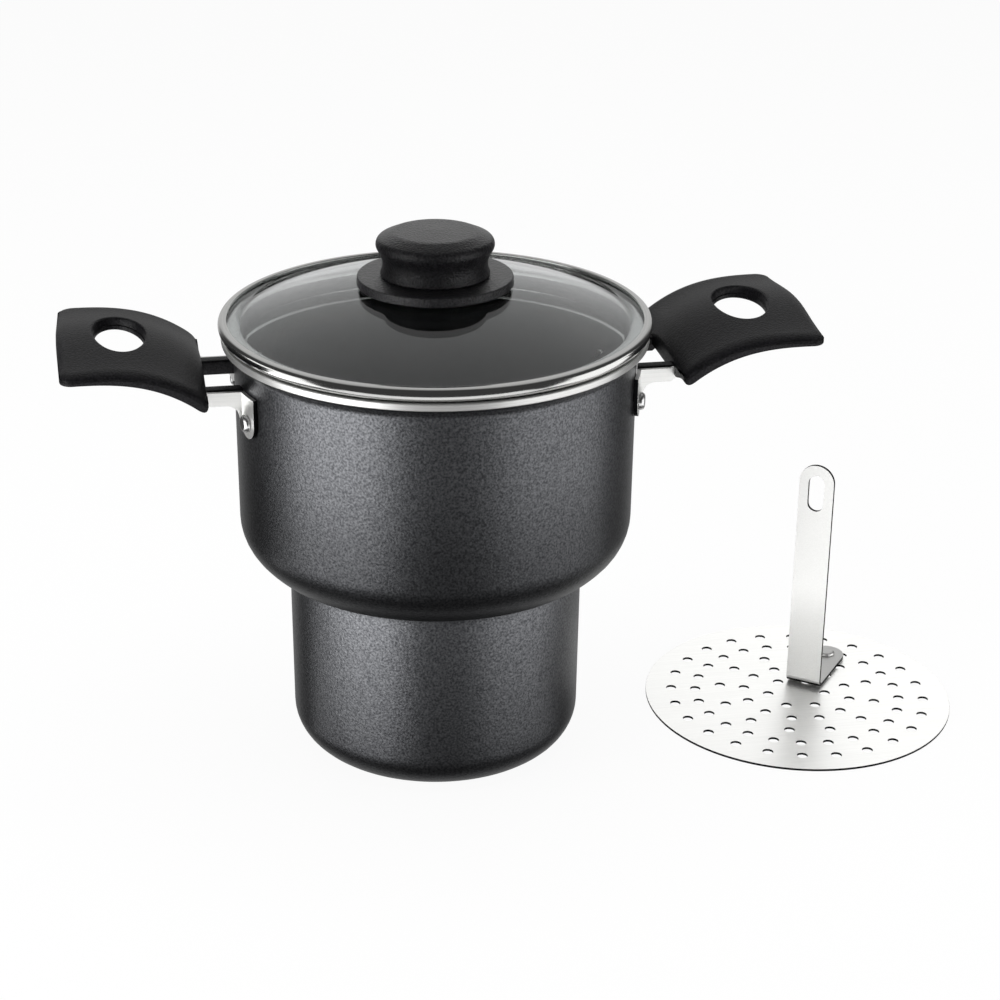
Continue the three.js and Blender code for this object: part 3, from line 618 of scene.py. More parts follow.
@dataclass
class Pot(SubAssembly):
    """The pressed pot: a wide upper section for the food over a narrow one for the water."""

    height: float = 176.7
    upper_radius: float = 78.9
    upper_draft: float = 0.4
    lower_radius: float = 59.1
    lower_draft: float = 0.6
    step_height: float = 80.4
    step_slope: float = 12.0
    step_corner: float = 20.0
    step_neck: float = 1.2
    base_corner: float = 16.0
    wall: float = 2.0
    rim_flare: float = 4.6
    rim_edge: float = 2.6
    rim_round: float = 0.5
    flare_height: float = 2.5
    mouth_depth: float = 6.6
    bare_edge: float = 2.7
    turned_depth: float = 11.7
    turned_cut: float = 0.7

    def section(self) -> list[Corner]:
        """Gives the corners of the pot's section: its outside, its rim, then its inside.

        The inside is the outside drawn in by the wall, and a shallow turned band runs round it below the rim.

        Returns:
            Each corner's radius, height and rounding.
        """
        lower_foot = self.lower_radius - self.lower_draft
        upper_foot = self.upper_radius - self.upper_draft
        rim, wall, top = self.upper_radius + self.rim_flare, self.wall, self.height
        flare_top = top - self.rim_edge
        inner, band = self.upper_radius - wall, top - self.turned_depth
        slope, shift = self.step_slope, wall * (math.sqrt(2.0) - 1.0)
        return [
            (0.0, 0.0, 0.0),
            (lower_foot, 0.0, self.base_corner),
            (self.lower_radius, self.step_height, self.step_neck),
            (upper_foot - slope, self.step_height, self.step_corner),
            (upper_foot, self.step_height + slope, self.step_corner),
            (self.upper_radius, flare_top - self.flare_height, self.rim_flare),
            (rim, flare_top, self.rim_round),
            (rim, top, self.rim_round),
            (rim - wall, top, self.rim_round),
            (inner + self.turned_cut, top - self.mouth_depth, self.rim_flare),
            (inner + self.turned_cut, band + self.turned_cut, 0.0),
            (inner, band, 0.0),
            (upper_foot - wall, self.step_height + slope + shift, self.step_corner - wall),
            (upper_foot - slope - shift, self.step_height + wall, self.step_corner - wall),
            (self.lower_radius - wall, self.step_height + wall, self.step_neck + wall),
            (lower_foot - wall, wall, self.base_corner - wall),
            (0.0, wall, 0.0),
        ]

    def build(self) -> None:
        """Makes the pot's mesh."""
        shell = lathe(self.section(), segments=176, longest=6.0)
        self.add("pot", shell, Body.POT, "pot_body", "graphite_coating")

    def dress(self) -> None:
        """Coats the pot inside and out, and leaves the rim and the turned band below it bare."""
        mesh = self.paint("pot", GRAPHITE, INNER_COATING, BARE_RIM, TURNED_SEAT)
        radius, height = (value / MM for value in face_values(mesh, "center"))
        outward, upward = face_values(mesh, "normal")
        least_inward, least_upward = 0.1, 0.3
        inside = (outward < -least_inward) | (upward > least_upward)
        rim = (height > self.height - self.bare_edge) & (radius > self.upper_radius)
        band = inside & (height > self.height - self.turned_depth)
        give_faces(mesh, np.select([rim, band, inside], [2, 3, 1], 0))


@dataclass
class Lid(SubAssembly):
    """The domed glass, its rolled steel band, and the knob that is screwed through it."""

    seat: float = 177.0
    radius: float = 84.5
    sheet: float = 0.8
    lip: float = 3.4
    lip_round: float = 0.35
    band_round: float = 2.2
    band_foot_round: float = 3.4
    skirt_depth: float = 6.5
    skirt_radius: float = 76.0
    skirt_round: float = 0.4
    skirt_foot_round: float = 0.39
    glass_thickness: float = 3.5
    glass_ledge: float = 6.0
    glass_flat: float = 4.0
    glass_edge: float = 0.6
    dome_rise: float = 14.2
    gap: float = 0.3
    collar_radius: float = 30.5
    collar_thickness: float = 2.4
    collar_flat: float = 22.0
    collar_droop: float = 1.4
    collar_bend: float = 4.0
    collar_nose: float = 0.7
    collar_side: float = 0.5
    collar_draft: float = 0.2
    collar_round: float = 0.4
    collar_top_round: float = 0.6
    grip_height: float = 17.4
    grip_foot: float = 21.7
    grip_waist: float = 19.4
    grip_foot_round: float = 0.7
    waist_share: float = 0.28
    waist_round: float = 8.7
    grip_head: float = 22.7
    swell: float = 0.4
    swell_share: float = 0.66
    swell_round: float = 3.0
    grip_top_round: float = 6.2
    grip_crown: float = 0.4
    pocket_radius: float = 4.5
    pocket_depth: float = 10.6
    screw_hole: float = 2.7
    screw_radius: float = 2.4
    screw_head: float = 2.6
    screw_head_radius: float = 4.6
    ring_round: float = 0.2

    def glass_top(self) -> float:
        """Gives the height of the flat edge of the glass."""
        return self.seat + self.sheet + self.gap + self.glass_thickness

    def dome(self, radius: np.ndarray) -> np.ndarray:
        """Gives the height of the dome: a cap of one sphere that rises from the flat edge.

        Args:
            radius: Distances from the axis.

        Returns:
            The heights there.
        """
        reach = self.radius - self.sheet - self.gap - self.glass_ledge
        sphere = (reach**2 + self.dome_rise**2) / (2.0 * self.dome_rise)
        cap = np.sqrt(sphere**2 - np.minimum(radius, reach) ** 2)
        return self.glass_top() + cap - (sphere - self.dome_rise)

    def glass(self) -> Surface:
        """Turns the section of the glass: the dome, its flat edge, and that line lowered by the thickness.

        Returns:
            The surface of the glass.
        """
        edge = self.radius - self.sheet - self.gap
        dome = np.linspace(self.screw_hole, edge - self.glass_ledge, 40)
        across = np.concatenate([dome, np.linspace(edge - self.glass_flat, edge - self.glass_edge, 4)])
        top = np.stack([across, self.dome(across)], -1)
        under = top[::-1] - np.array([0.0, self.glass_thickness])
        drops = (self.glass_edge, self.glass_thickness - self.glass_edge)
        rim = np.array([[edge, self.glass_top() - drop] for drop in drops])
        return revolved(np.concatenate([top, rim, under]), 160)

    def band(self) -> Surface:
        """Turns the rolled section: a channel that grips the glass's edge, and a skirt that centres the lid.

        Returns:
            The band's surface.
        """
        top = self.glass_top() + self.gap + self.sheet
        foot = self.seat - self.skirt_depth
        channel, skirt = self.radius - self.sheet, self.skirt_radius - self.sheet
        return lathe([
            (skirt, foot, self.skirt_foot_round),
            (self.skirt_radius, foot, self.skirt_foot_round),
            (self.skirt_radius, self.seat, self.skirt_round),
            (self.radius, self.seat, self.band_foot_round),
            (self.radius, top, self.band_round),
            (self.radius - self.lip, top, self.lip_round),
            (self.radius - self.lip, top - self.sheet, 0.0),
            (channel, top - self.sheet, self.sheet),
            (channel, self.seat + self.sheet, self.sheet),
            (skirt, self.seat + self.sheet, self.skirt_round + self.sheet),
        ], segments=192, longest=2.0)

    def collar(self) -> Surface:
        """Turns the knob's collar: a thin disc whose rim droops toward the falling glass.

        Returns:
            The collar's surface.
        """
        bottom = self.glass_top() + self.dome_rise + self.gap
        top, rim = bottom + self.collar_thickness, bottom - self.collar_droop
        return lathe([
            (self.screw_hole, bottom, 0.0),
            (self.collar_flat, bottom, self.collar_bend),
            (self.collar_radius - self.collar_nose, rim, self.collar_round),
            (self.collar_radius, rim + self.collar_side, self.collar_round),
            (self.collar_radius - self.collar_draft, top, self.collar_top_round),
            (self.screw_hole, top, 0.0),
        ], segments=128, longest=3.0)

    def grip(self) -> Surface:
        """Turns the grip: it flares at its foot, draws in to a waist and swells to a rounded head.

        Returns:
            The grip's surface.
        """
        bottom = self.glass_top() + self.dome_rise + 2.0 * self.gap + self.collar_thickness
        top, shoulder = bottom + self.grip_height, self.grip_top_round / 2.0
        return lathe([
            (self.pocket_radius, bottom, 0.0),
            (self.grip_foot, bottom, self.grip_foot_round),
            (self.grip_waist, bottom + self.grip_height * self.waist_share, self.waist_round),
            (self.grip_head + self.swell, bottom + self.grip_height * self.swell_share, self.swell_round),
            (self.grip_head, top - shoulder, shoulder),
            (self.grip_head - self.grip_top_round, top - self.grip_crown, self.grip_top_round),
            (0.0, top, 0.0),
            (0.0, bottom + self.pocket_depth, 0.0),
            (self.pocket_radius, bottom + self.pocket_depth, 0.0),
        ], segments=128, longest=2.0)

    def ring(self, radius: float, low: float, high: float) -> Surface:
        """Turns a flat ring with a hole for the screw, between two heights."""
        hole, edge = self.screw_hole, self.ring_round
        return lathe([(hole, low, 0.0), (radius, low, edge), (radius, high, edge), (hole, high, 0.0)], 48)

    def build(self) -> None:
        """Makes the lid's meshes, from the glass up to the knob and down to the screw."""
        for name, surface, node, slot in (
            ("glass_dome", self.glass(), "lid_glass", "lid_glass"),
            ("steel_band", self.band(), "lid_band", "polished_steel"),
            ("knob_disc", self.collar(), "knob_collar", "bakelite"),
            ("knob", self.grip(), "knob_grip", "bakelite"),
        ):
            self.add(name, surface, Body.LID, node, slot, sharp=50.0)
        for name, node, slot in (
            ("insert", "knob_insert", "brass"),
            ("gasket", "knob_gasket", "rubber"),
            ("washer", "knob_washer", "polished_steel"),
        ):
            low, high = (np.array(corner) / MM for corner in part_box(node))
            self.add(name, self.ring(high[0], low[2], high[2]), Body.LID, node, slot)
        low, high = (np.array(corner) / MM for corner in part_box("knob_screw"))
        seat = low[2] + self.screw_head
        fastener = screw(self.screw_radius, high[2] - seat, self.screw_head_radius, self.screw_head)
        self.add("lid_screw", fastener.moved(0.0, 0.0, seat), Body.LID, "knob_screw", "polished_steel")

    def dress(self) -> None:
        """Gives the glass, the steel, the moulded pieces and the fasteners their finishes."""
        for name, finish in (
            ("glass_dome", GLASS), ("steel_band", BUFFED_STEEL), ("knob_disc", KNOB_PHENOLIC),
            ("knob", KNOB_PHENOLIC), ("insert", BRASS), ("gasket", SILICONE), ("washer", BUFFED_STEEL),
            ("lid_screw", SCREW),
        ):
            self.paint(name, finish)


def screw(shank_radius: float, shank_length: float, head_radius: float, head_height: float) -> Surface:
    """Turns a screw along +Z: its domed head hangs below the seat and its shank rises above it.

    Args:
        shank_radius: The shank's radius.
        shank_length: The shank's length above the seat.
        head_radius: The head's radius.
        head_height: The head's height below the seat.

    Returns:
        The screw's surface.
    """
    return lathe([
        (0.0, -head_height, 0.0),
        (head_radius, -head_height, head_height * 0.6),
        (head_radius, 0.0, 0.0),
        (shank_radius, 0.0, 0.0),
        (shank_radius, shank_length, 0.4),
        (0.0, shank_length, 0.0),
    ])


@dataclass
class SideHandle(SubAssembly):
    """A moulded handle, the bracket that it is screwed to, and the rivets that hold that to the pot."""

    side: Side = Side.RIGHT
    wall_radius: float = 78.9
    inner: float = 91.1
    length: float = 55.0
    inner_width: float = 76.0
    outer_width: float = 83.0
    base: float = 158.9
    rise: float = 16.5
    rise_power: float = 3.0
    crown: float = 3.6
    inner_lip: float = 6.5
    outer_lip: float = 3.8
    bulge: float = 0.8
    corner: float = 4.5
    skin: float = 3.0
    lip_wall: float = 3.0
    edge_round: float = 2.9
    edge_across: float = 5.5
    foot_round: float = 0.8
    toe_round: float = 4.0
    toe_start: float = 3.0
    toe_fade: float = 10.0
    hole_offset: float = 31.2
    hole_depth: float = 20.0
    hole_width: float = 38.4
    hole_foot: float = 0.25
    hole_wall: float = 2.5
    hole_round: float = 1.2
    hole_step: float = 0.5
    leg_inner: float = 13.7
    leg_outer: float = 19.1
    leg_corner: float = 0.9
    leg_reach: float = 3.4
    leg_rise: float = 3.0
    boss_radius: float = 4.6
    boss_bore: float = 2.3
    boss_length: float = 5.0
    arm_top: float = 162.2
    arm_height: float = 5.4
    arm_fillet: float = 5.0
    arm_spread: float = 19.4
    sheet: float = 1.5
    plate_inset: float = 4.6
    plate_length: float = 10.5
    tab_width: float = 12.0
    tab_gap: float = 0.2
    arm_lead: float = 1.0
    arm_bend: float = 2.0
    plate_round: float = 1.0
    rivet_height: float = 151.2
    rivet_inset: float = 2.8
    rivet_seat: float = 0.4
    rivet_shank: float = 2.2
    tail_radius: float = 3.6
    tail_height: float = 1.0
    tail_round: float = 0.5
    head_radius: float = 3.5
    head_height: float = 2.0
    head_round: float = 1.6
    screw_gap: float = 0.2
    gap: float = 0.3

    def label(self) -> str:
        """Gives the side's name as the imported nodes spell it."""
        return self.side.name.lower()

    def along(self, x: np.ndarray | float) -> np.ndarray:
        """Gives the share of the handle's length at a distance from the pot's axis."""
        return (np.asarray(x, float) - self.inner) / self.length

    def lip_bottom(self, x: np.ndarray | float) -> np.ndarray:
        """Gives the height of the lip's foot: it climbs away from the pot along a flattening power curve."""
        return self.base + self.rise * (1.0 - np.maximum(1.0 - self.along(x), 0.0) ** self.rise_power)

    def toe(self, x: np.ndarray, y: np.ndarray) -> np.ndarray:
        """Gives how far the foot lifts at the two corners by the pot: a quarter circle that fades in across.

        Args:
            x: Distances from the pot's axis.
            y: Distances from the handle's middle line.

        Returns:
            The lift there.
        """
        short = np.clip(self.toe_round - (x - self.inner), 0.0, self.toe_round)
        part = np.clip((np.abs(y) - self.leg_outer - self.toe_start) / self.toe_fade, 0.0, 1.0)
        return (self.toe_round - np.sqrt(self.toe_round**2 - short**2)) * part * part * (3.0 - 2.0 * part)

    def crown_top(self, x: np.ndarray, y: np.ndarray) -> np.ndarray:
        """Gives the height of the top: the lip, and on it a crown that falls off as half a cosine wave.

        Args:
            x: Distances from the pot's axis.
            y: Distances from the handle's middle line.

        Returns:
            The heights there.
        """
        share = np.clip(self.along(x), 0.0, 1.0)
        half = (self.inner_width + (self.outer_width - self.inner_width) * share) / 2.0
        across = np.minimum(np.abs(y) / half, 1.0)
        lip = self.inner_lip + (self.outer_lip - self.inner_lip) * share
        return self.lip_bottom(x) + lip + self.crown * (1.0 + np.cos(np.pi * across)) / 2.0

    def outline(self) -> np.ndarray:
        """Gives the handle's outline in plan: a trapezium with round corners and a bulged outer end.

        Returns:
            The outline's evenly spaced points.
        """
        corner_x = self.inner + self.length - self.bulge
        inner, outer = self.inner_width / 2.0, self.outer_width / 2.0
        return resampled(rounded([
            (self.inner, -inner, self.corner / 2.0),
            (corner_x, -outer, self.corner),
            (self.inner + self.length + self.bulge / 3.0, 0.0, 3.0 * self.outer_width),
            (corner_x, outer, self.corner),
            (self.inner, inner, self.corner / 2.0),
        ], step=3.0), count=320)

    def shell(self) -> Surface:
        """Makes the hollow body as one closed ring surface.

        One parameter runs round the outline. The other runs round the section between outline and hole: up
        the lip, over the crowned top, down the hole's wall, along the ceiling and back to the lip. Each block
        of section points has its share of the way from the outline to the hole, a depth beyond it, a share of
        the height between the lip's foot and the top, and an offset from that height.

        Returns:
            The shell's surface.
        """
        loop = self.outline()
        centre = np.array([self.inner + self.hole_offset, 0.0])
        size = np.array([self.hole_depth, self.hole_width]) / 2.0
        away = (loop - centre) / size
        hole = centre + size * away / np.linalg.norm(away, axis=1)[:, None]
        span = np.linalg.norm(hole - loop, axis=1)
        ray = (hole - loop) / span[:, None]
        quarter = np.linspace(0.0, np.pi / 2.0, 8)
        rising, falling = 1.0 - np.sin(quarter), 1.0 - np.cos(quarter)
        foot, edge, roll, lip = self.foot_round, self.edge_round, self.edge_across, self.hole_round
        across, ceiling = np.linspace(0.0, 1.0, 42)[1:-1], np.linspace(1.0, 0.0, 24)
        blocks = [
            (0.0, foot * rising, 0.0, foot * falling),
            (0.0, 0.0, np.array([0.4, 0.6]), 0.0),
            (0.0, roll * falling, 1.0, -edge * rising),
            (across, roll - across * (roll + lip), 1.0, 0.0),
            (1.0, -lip * rising, 1.0, -lip * falling),
            (1.0, np.array([0.0, self.hole_step]), np.array([0.55, 0.5]), 0.0),
            (1.0, self.hole_step - foot * falling, self.hole_foot, foot * rising),
            (1.0, -self.hole_wall, np.array([self.hole_foot]), 0.0),
            (ceiling, self.lip_wall - ceiling * (self.lip_wall + self.hole_wall), 1.0, -self.skin),
            (0.0, self.lip_wall, np.zeros(1), 0.0),
        ]
        columns = zip(*(np.broadcast_arrays(*block) for block in blocks))
        share, depth, part, offset = (np.concatenate(column)[:, None] for column in columns)
        plan = loop + ray * (share * span + depth)[..., None]
        x, y = plan[..., 0], plan[..., 1]
        bottom, top = self.lip_bottom(x) + self.toe(x, y), self.crown_top(x, y)
        grid = np.concatenate([plan, (bottom + part * (top - bottom) + offset)[..., None]], -1)
        return loft(grid, close_rows=True, close_columns=True)

    def legs(self) -> Surface:
        """Makes the two legs: a round-cornered section carried from the pot's wall into the handle.

        The first section lies on the wall's cylinder, and the last one climbs with the handle's lip.

        Returns:
            Both legs in one surface.
        """
        bottom, top = self.arm_top - self.arm_height, self.arm_top + 2.0 * self.gap
        end = self.inner + self.leg_reach
        lip, radius = float(self.lip_bottom(end)), self.leg_corner
        heights = [(bottom, top), (bottom, top), ((bottom + lip) / 2.0, lip + self.leg_rise)]
        made = []
        for sign in (1.0, -1.0):
            near, far = sign * self.leg_inner, sign * self.leg_outer
            corners = [(near, 0), (far, 0), (far, 1), (near, 1)]
            across = np.stack([
                rounded([(y, level[i], radius) for y, i in corners], step=15.0) for level in heights
            ])
            start = np.sqrt((self.wall_radius + self.gap) ** 2 - across[0, :, 0] ** 2)
            x = np.stack([start, np.full_like(start, self.inner), np.full_like(start, end)])
            made.append(loft(np.concatenate([x[..., None], across], -1), close_columns=True, capped=True))
        return made[0] + made[1]

    def plate_line(self) -> tuple[np.ndarray, np.ndarray, float]:
        """Gives the start and end of the bracket's plate as (x, z), and its slope in radians.

        Returns:
            The start, the end and the slope.
        """
        start = self.inner + self.plate_inset
        ends = [np.array([x, float(self.lip_bottom(x))]) for x in (start, start + self.plate_length)]
        rise = ends[1] - ends[0]
        return ends[0], ends[1], math.atan2(rise[1], rise[0])

    def on_plate(self, surface: Surface) -> Surface:
        """Stands a surface, made along Z from the plate's underside, square to the middle of the plate.

        Args:
            surface: The surface.

        Returns:
            The surface in its place.
        """
        start, end, slope = self.plate_line()
        middle = (start + end) / 2.0
        return surface.turned(-slope, 2, 0).moved(middle[0], 0.0, middle[1])

    def boss(self) -> Surface:
        """Turns the boss that takes the screw, from just above the plate into the handle's top.

        Returns:
            The boss's surface.
        """
        low, high = self.sheet + self.gap, self.sheet + self.boss_length
        bore, radius = self.boss_bore, self.boss_radius
        corners = [(bore, low, 0.0), (radius, low, 0.4), (radius, high, 0.0), (bore, high, 0.0)]
        return self.on_plate(lathe(corners))

    def tab_radius(self) -> float:
        """Gives the radius of the middle of a tab's sheet, which lies on the pot's wall."""
        return self.wall_radius + self.tab_gap + self.sheet / 2.0

    def tab_angle(self) -> float:
        """Gives the turn about Z from the handle's middle line to the middle of a tab."""
        return math.asin((self.arm_spread + self.tab_width / 2.0) / self.tab_radius())

    def bracket(self) -> Surface:
        """Makes the stamped bracket: a plate under the handle, arms by the legs and tabs on the pot's wall.

        Plate and arms are outlines carried along Y. A tab is a section carried round the wall's cylinder,
        and its lower end is a half circle: z = rivet height - sqrt(half width^2 - w^2), w being across.

        Returns:
            The bracket's surface.
        """
        start, end, slope = self.plate_line()
        lift = self.sheet * np.array([-math.sin(slope), math.cos(slope)])
        outer, middle = self.arm_spread + self.sheet, self.tab_radius()
        made = carried_across(np.stack([start, end, end + lift, start + lift]), -outer, outer)
        low = self.arm_top - self.arm_height
        root = math.sqrt(middle**2 - (self.arm_spread + self.sheet / 2.0) ** 2)
        lead = self.inner - self.arm_lead
        arm = rounded([
            (root, low - self.arm_fillet, 0.0),
            (root + self.sheet, low - self.arm_fillet, 0.0),
            (root + self.sheet, low, self.arm_fillet),
            (lead, low, self.arm_bend),
            (*end, 0.0),
            (*(end + lift), 0.0),
            (*(start + lift), self.plate_round),
            (lead, self.arm_top, self.arm_bend),
            (root, self.arm_top, 0.0),
        ], step=9.0)
        half = self.tab_width / 2.0
        w = half * np.sin(np.linspace(-np.pi / 2.0, np.pi / 2.0, 33))
        foot = self.rivet_height - np.sqrt(np.maximum(half**2 - w**2, 0.0))
        radii = middle + self.sheet / 2.0 * np.array([1.0, 1.0, -1.0, -1.0])
        head = np.full_like(w, self.arm_top)
        height = np.stack([head, foot, foot, head], 1)
        for sign in (1.0, -1.0):
            inside, outside = sorted((sign * self.arm_spread, sign * outer))
            angle = sign * self.tab_angle() + w[:, None] / middle
            grid = np.stack([radii * np.cos(angle), radii * np.sin(angle), height], -1)
            made = made + carried_across(arm, inside, outside) + loft(grid, close_columns=True, capped=True)
        return made

    def rivet(self) -> Surface:
        """Turns a rivet along +X: a flat tail inside the pot, a shank, and a domed head outside the tab.

        Returns:
            The rivet's surface.
        """
        tail, head = self.wall_radius - self.rivet_inset, self.wall_radius + self.sheet + self.rivet_seat
        return lathe([
            (0.0, tail - self.tail_height, 0.0),
            (self.tail_radius, tail - self.tail_height, self.tail_round),
            (self.tail_radius, tail, 0.0),
            (self.rivet_shank, tail, 0.0),
            (self.rivet_shank, head, 0.0),
            (self.head_radius, head, 0.0),
            (self.head_radius, head + self.head_height, self.head_round),
            (0.0, head + self.head_height, 0.0),
        ]).turned(math.pi / 2.0, 2, 0)

    def build(self) -> None:
        """Makes the handle, its bracket, its screw and its two rivets, turned to their side of the pot."""
        label, turn = self.label(), self.side.value
        moulding = (self.shell() + self.legs() + self.boss()).turned(turn)
        self.add(f"handle_{label}", moulding, Body.POT, f"{label}_handle", "bakelite", sharp=48.0)
        bracket = self.bracket().turned(turn)
        self.add(
            f"bracket_{label}", bracket, Body.POT, f"{label}_bracket", "satin_steel", edges=Edges.STAMPED
        )
        fastener = screw(shank_radius=2.0, shank_length=6.0, head_radius=3.8, head_height=2.0)
        seated = self.on_plate(fastener.moved(0.0, 0.0, -self.screw_gap)).turned(turn)
        self.add(f"handle_screw_{label}", seated, Body.POT, f"{label}_handle_screw", "polished_steel")
        front = -1.0 if self.side is Side.RIGHT else 1.0
        for place, sign in (("front", front), ("back", -front)):
            rivet = self.rivet().turned(sign * self.tab_angle() + turn).moved(0.0, 0.0, self.rivet_height)
            self.add(f"rivet_{label}_{place}", rivet, Body.POT, f"{label}_{place}_rivet", "rivet_aluminium")

    def dress(self) -> None:
        """Gives the pieces their finishes, and the bracket's tabs their dark cut edges, drawn near black as
        painted shade.
        """
        label, margin = self.label(), 0.5
        self.paint(f"handle_{label}", PHENOLIC)
        mesh = self.paint(f"bracket_{label}", SATIN_STEEL, SHEARED_EDGE_AND_SHADE)
        radius, height = (value / MM for value in face_values(mesh, "center"))
        sideways = np.abs(face_values(mesh, "normal")[0]) < 0.5
        on_wall = (radius < self.wall_radius + self.sheet + margin) & (height < self.arm_top - margin)
        # The tabs' side faces on the wall get the near-black edge finish: painted shade where the tabs stand
        # off the wall.
        give_faces(mesh, on_wall & sideways)
        self.paint(f"handle_screw_{label}", SCREW)
        for place in ("front", "back"):
            self.paint(f"rivet_{label}_{place}", RIVET)


@dataclass
class Strainer(SubAssembly):
    """The perforated plate that stands beside the pot, with the strip that lifts it."""

    x: float = 157.7
    y: float = 1.6
    turn: float = math.radians(-37.0)
    radius: float = 64.8
    thickness: float = 1.0
    hole_radius: float = 2.2
    first_ring: float = 12.2
    ring_spacing: float = 10.4
    ring_counts: tuple[int, ...] = (6, 12, 12, 24, 24)
    round_steps: int = 96
    strip_width: float = 15.0
    strip_sheet: float = 1.5
    strip_top: float = 104.3
    strip_offset: float = 7.5
    strip_bend: float = 3.5
    foot_height: float = 1.3
    rivet_offset: float = 38.2
    rivet_radius: float = 3.6
    rivet_shank: float = 1.8
    rivet_head: float = 1.3
    rivet_round: float = 1.2
    rivet_gap: float = 0.2
    slot_width: float = 7.0
    slot_length: float = 16.0
    slot_drop: float = 4.6
    slot_margin: float = 9.0

    def placed(self, surface: Surface) -> Surface:
        """Turns a surface as the plate stands, and carries it to the plate's place."""
        return surface.turned(self.turn).moved(self.x, self.y, 0.0)

    def ring_cells(self, ring: int) -> Surface:
        """Makes one ring of the sheet: a cell round each hole, between the ring's edges.

        Each cell is a strip of faces from its border, two arcs and two radial sides, to its hole. Every arc
        has its points on the same steps of the turn, so that the rings join.

        Args:
            ring: The ring's number, from the middle.

        Returns:
            The ring's flat surface.
        """
        count, radius = self.ring_counts[ring], self.first_ring + ring * self.ring_spacing
        low, high, half = radius - self.ring_spacing / 2.0, radius + self.ring_spacing / 2.0, np.pi / count
        arc = np.linspace(-half, half, self.round_steps // count + 1)[:-1]
        side = np.linspace(low, high, 5)[:-1]
        ends, flat = np.full_like(side, half), np.ones_like(arc)
        angle = np.concatenate([arc, ends, -arc, -ends])
        reach = np.concatenate([low * flat, side, high * flat, low + high - side])
        border = np.stack([reach * np.cos(angle), reach * np.sin(angle)], -1)
        away = border - np.array([radius, 0.0])
        hole = np.array([radius, 0.0]) + self.hole_radius * away / np.linalg.norm(away, axis=1)[:, None]
        cell = np.stack([border, hole])
        turn = 2.0 * np.pi * (np.arange(count) + 0.5) / count
        cos, sin = np.cos(turn)[:, None, None], np.sin(turn)[:, None, None]
        x, y = cell[None, ..., 0], cell[None, ..., 1]
        height = np.full((count, *cell.shape[:2]), self.thickness)
        points = np.stack([x * cos - y * sin, x * sin + y * cos, height], -1)
        faces = quads(2, len(border), False, True)
        shift = (np.arange(count) * 2 * len(border))[:, None, None]
        return Surface(points.reshape(-1, 3), [(faces[None] + shift).reshape(-1, 4)])

    def annulus(self, inner: float, outer: float) -> Surface:
        """Makes a plain flat ring of the sheet, or a disc where its inner radius is nothing.

        Args:
            inner: The inner radius.
            outer: The outer radius.

        Returns:
            The ring's flat surface.
        """
        turn = np.arange(self.round_steps) * 2.0 * np.pi / self.round_steps
        reach, height = np.array([[inner], [outer]]), np.full((2, self.round_steps), self.thickness)
        return loft(np.stack([reach * np.cos(turn), reach * np.sin(turn), height], -1), close_columns=True)

    def disc(self) -> Surface:
        """Joins the rings of holes to the plain middle and the plain border of the plate.

        Returns:
            The plate's flat surface.
        """
        first = self.first_ring - self.ring_spacing / 2.0
        last = first + len(self.ring_counts) * self.ring_spacing
        made = self.annulus(0.0, first) + self.annulus(last, self.radius)
        for ring in range(len(self.ring_counts)):
            made = made + self.ring_cells(ring)
        return made

    def slot_points(self, outline: np.ndarray) -> np.ndarray:
        """Gives the point of the slot's edge in the direction of each point of an outline, from its middle.

        The slot has straight sides and round ends, so a direction d meets it at h |dt| + sqrt(r^2 - h^2 dw^2)
        in an end, for the half length h of a side and the ends' radius r, or else at r / |dw| in a side.

        Args:
            outline: The outline's (w, t) points.

        Returns:
            The slot's points, one for each of the outline's.
        """
        radius = self.slot_width / 2.0
        side = self.slot_length / 2.0 - radius
        middle = np.array([0.0, self.slot_drop + self.slot_length / 2.0])
        away = outline - middle
        away = away / np.linalg.norm(away, axis=1)[:, None]
        across, along = np.abs(away).T
        flat = radius / np.maximum(across, TINY)
        cap = side * along + np.sqrt(np.maximum(radius**2 - (side * across) ** 2, 0.0))
        reach = np.where(flat * along <= side, flat, cap)
        return middle + away * reach[:, None]

    def strip(self) -> Surface:
        """Makes the strip's outer face: drawn flat, across by w and along by t, then folded along its path.

        The head is a strip of faces from a round-topped outline to the slot, the rest is a grid whose width
        falls off at the foot as a half circle, and the path runs down, round the bend and along the plate.

        Returns:
            The folded face.
        """
        half, bend = self.strip_width / 2.0, self.strip_bend
        drop = self.strip_top - self.foot_height - bend
        run = self.rivet_offset - self.strip_offset - bend
        bend_end = drop + bend * np.pi / 2.0
        around = np.linspace(0.0, np.pi / 2.0, 13)
        head_end = self.slot_drop + self.slot_length + self.slot_margin
        across = half * np.linspace(1.0, -1.0, 9)
        cap = np.linspace(0.0, np.pi, 33)
        sides = np.linspace(half, head_end, 6)[1:-1]
        edge = np.full_like(sides, half)
        outline = np.concatenate([
            np.stack([-half * np.cos(cap), half - half * np.sin(cap)], -1),
            np.stack([edge, sides], -1),
            np.stack([across, np.full_like(across, head_end)], -1),
            np.stack([-edge, sides[::-1]], -1),
        ])
        head = np.stack([outline, self.slot_points(outline)])
        straight, foot = np.linspace(head_end, drop, 5), bend_end + np.linspace(0.0, run, 5)
        body_t = np.concatenate([straight, drop + bend * around[1:], foot[1:]])
        tip = np.linspace(0.0, np.pi / 2.0, 10)[1:]
        t = np.concatenate([body_t, body_t[-1] + half * np.sin(tip)])
        scale = np.concatenate([np.ones(len(body_t)), np.cos(tip)])
        body = np.stack([across * scale[:, None], np.repeat(t[:, None], len(across), 1)], -1)
        flat = Surface(np.zeros((0, 2)), [])
        for grid, close in ((head, True), (body, False)):
            flat = flat + Surface(grid.reshape(-1, 2), [quads(*grid.shape[:2], False, close)])
        travel = np.concatenate([[0.0], drop + bend * around, [bend_end + run + half]])
        out = np.concatenate([[0.0], bend * (1.0 - np.cos(around)), [bend + run + half]])
        up = np.concatenate([[drop + bend], bend * (1.0 - np.sin(around)), [0.0]])
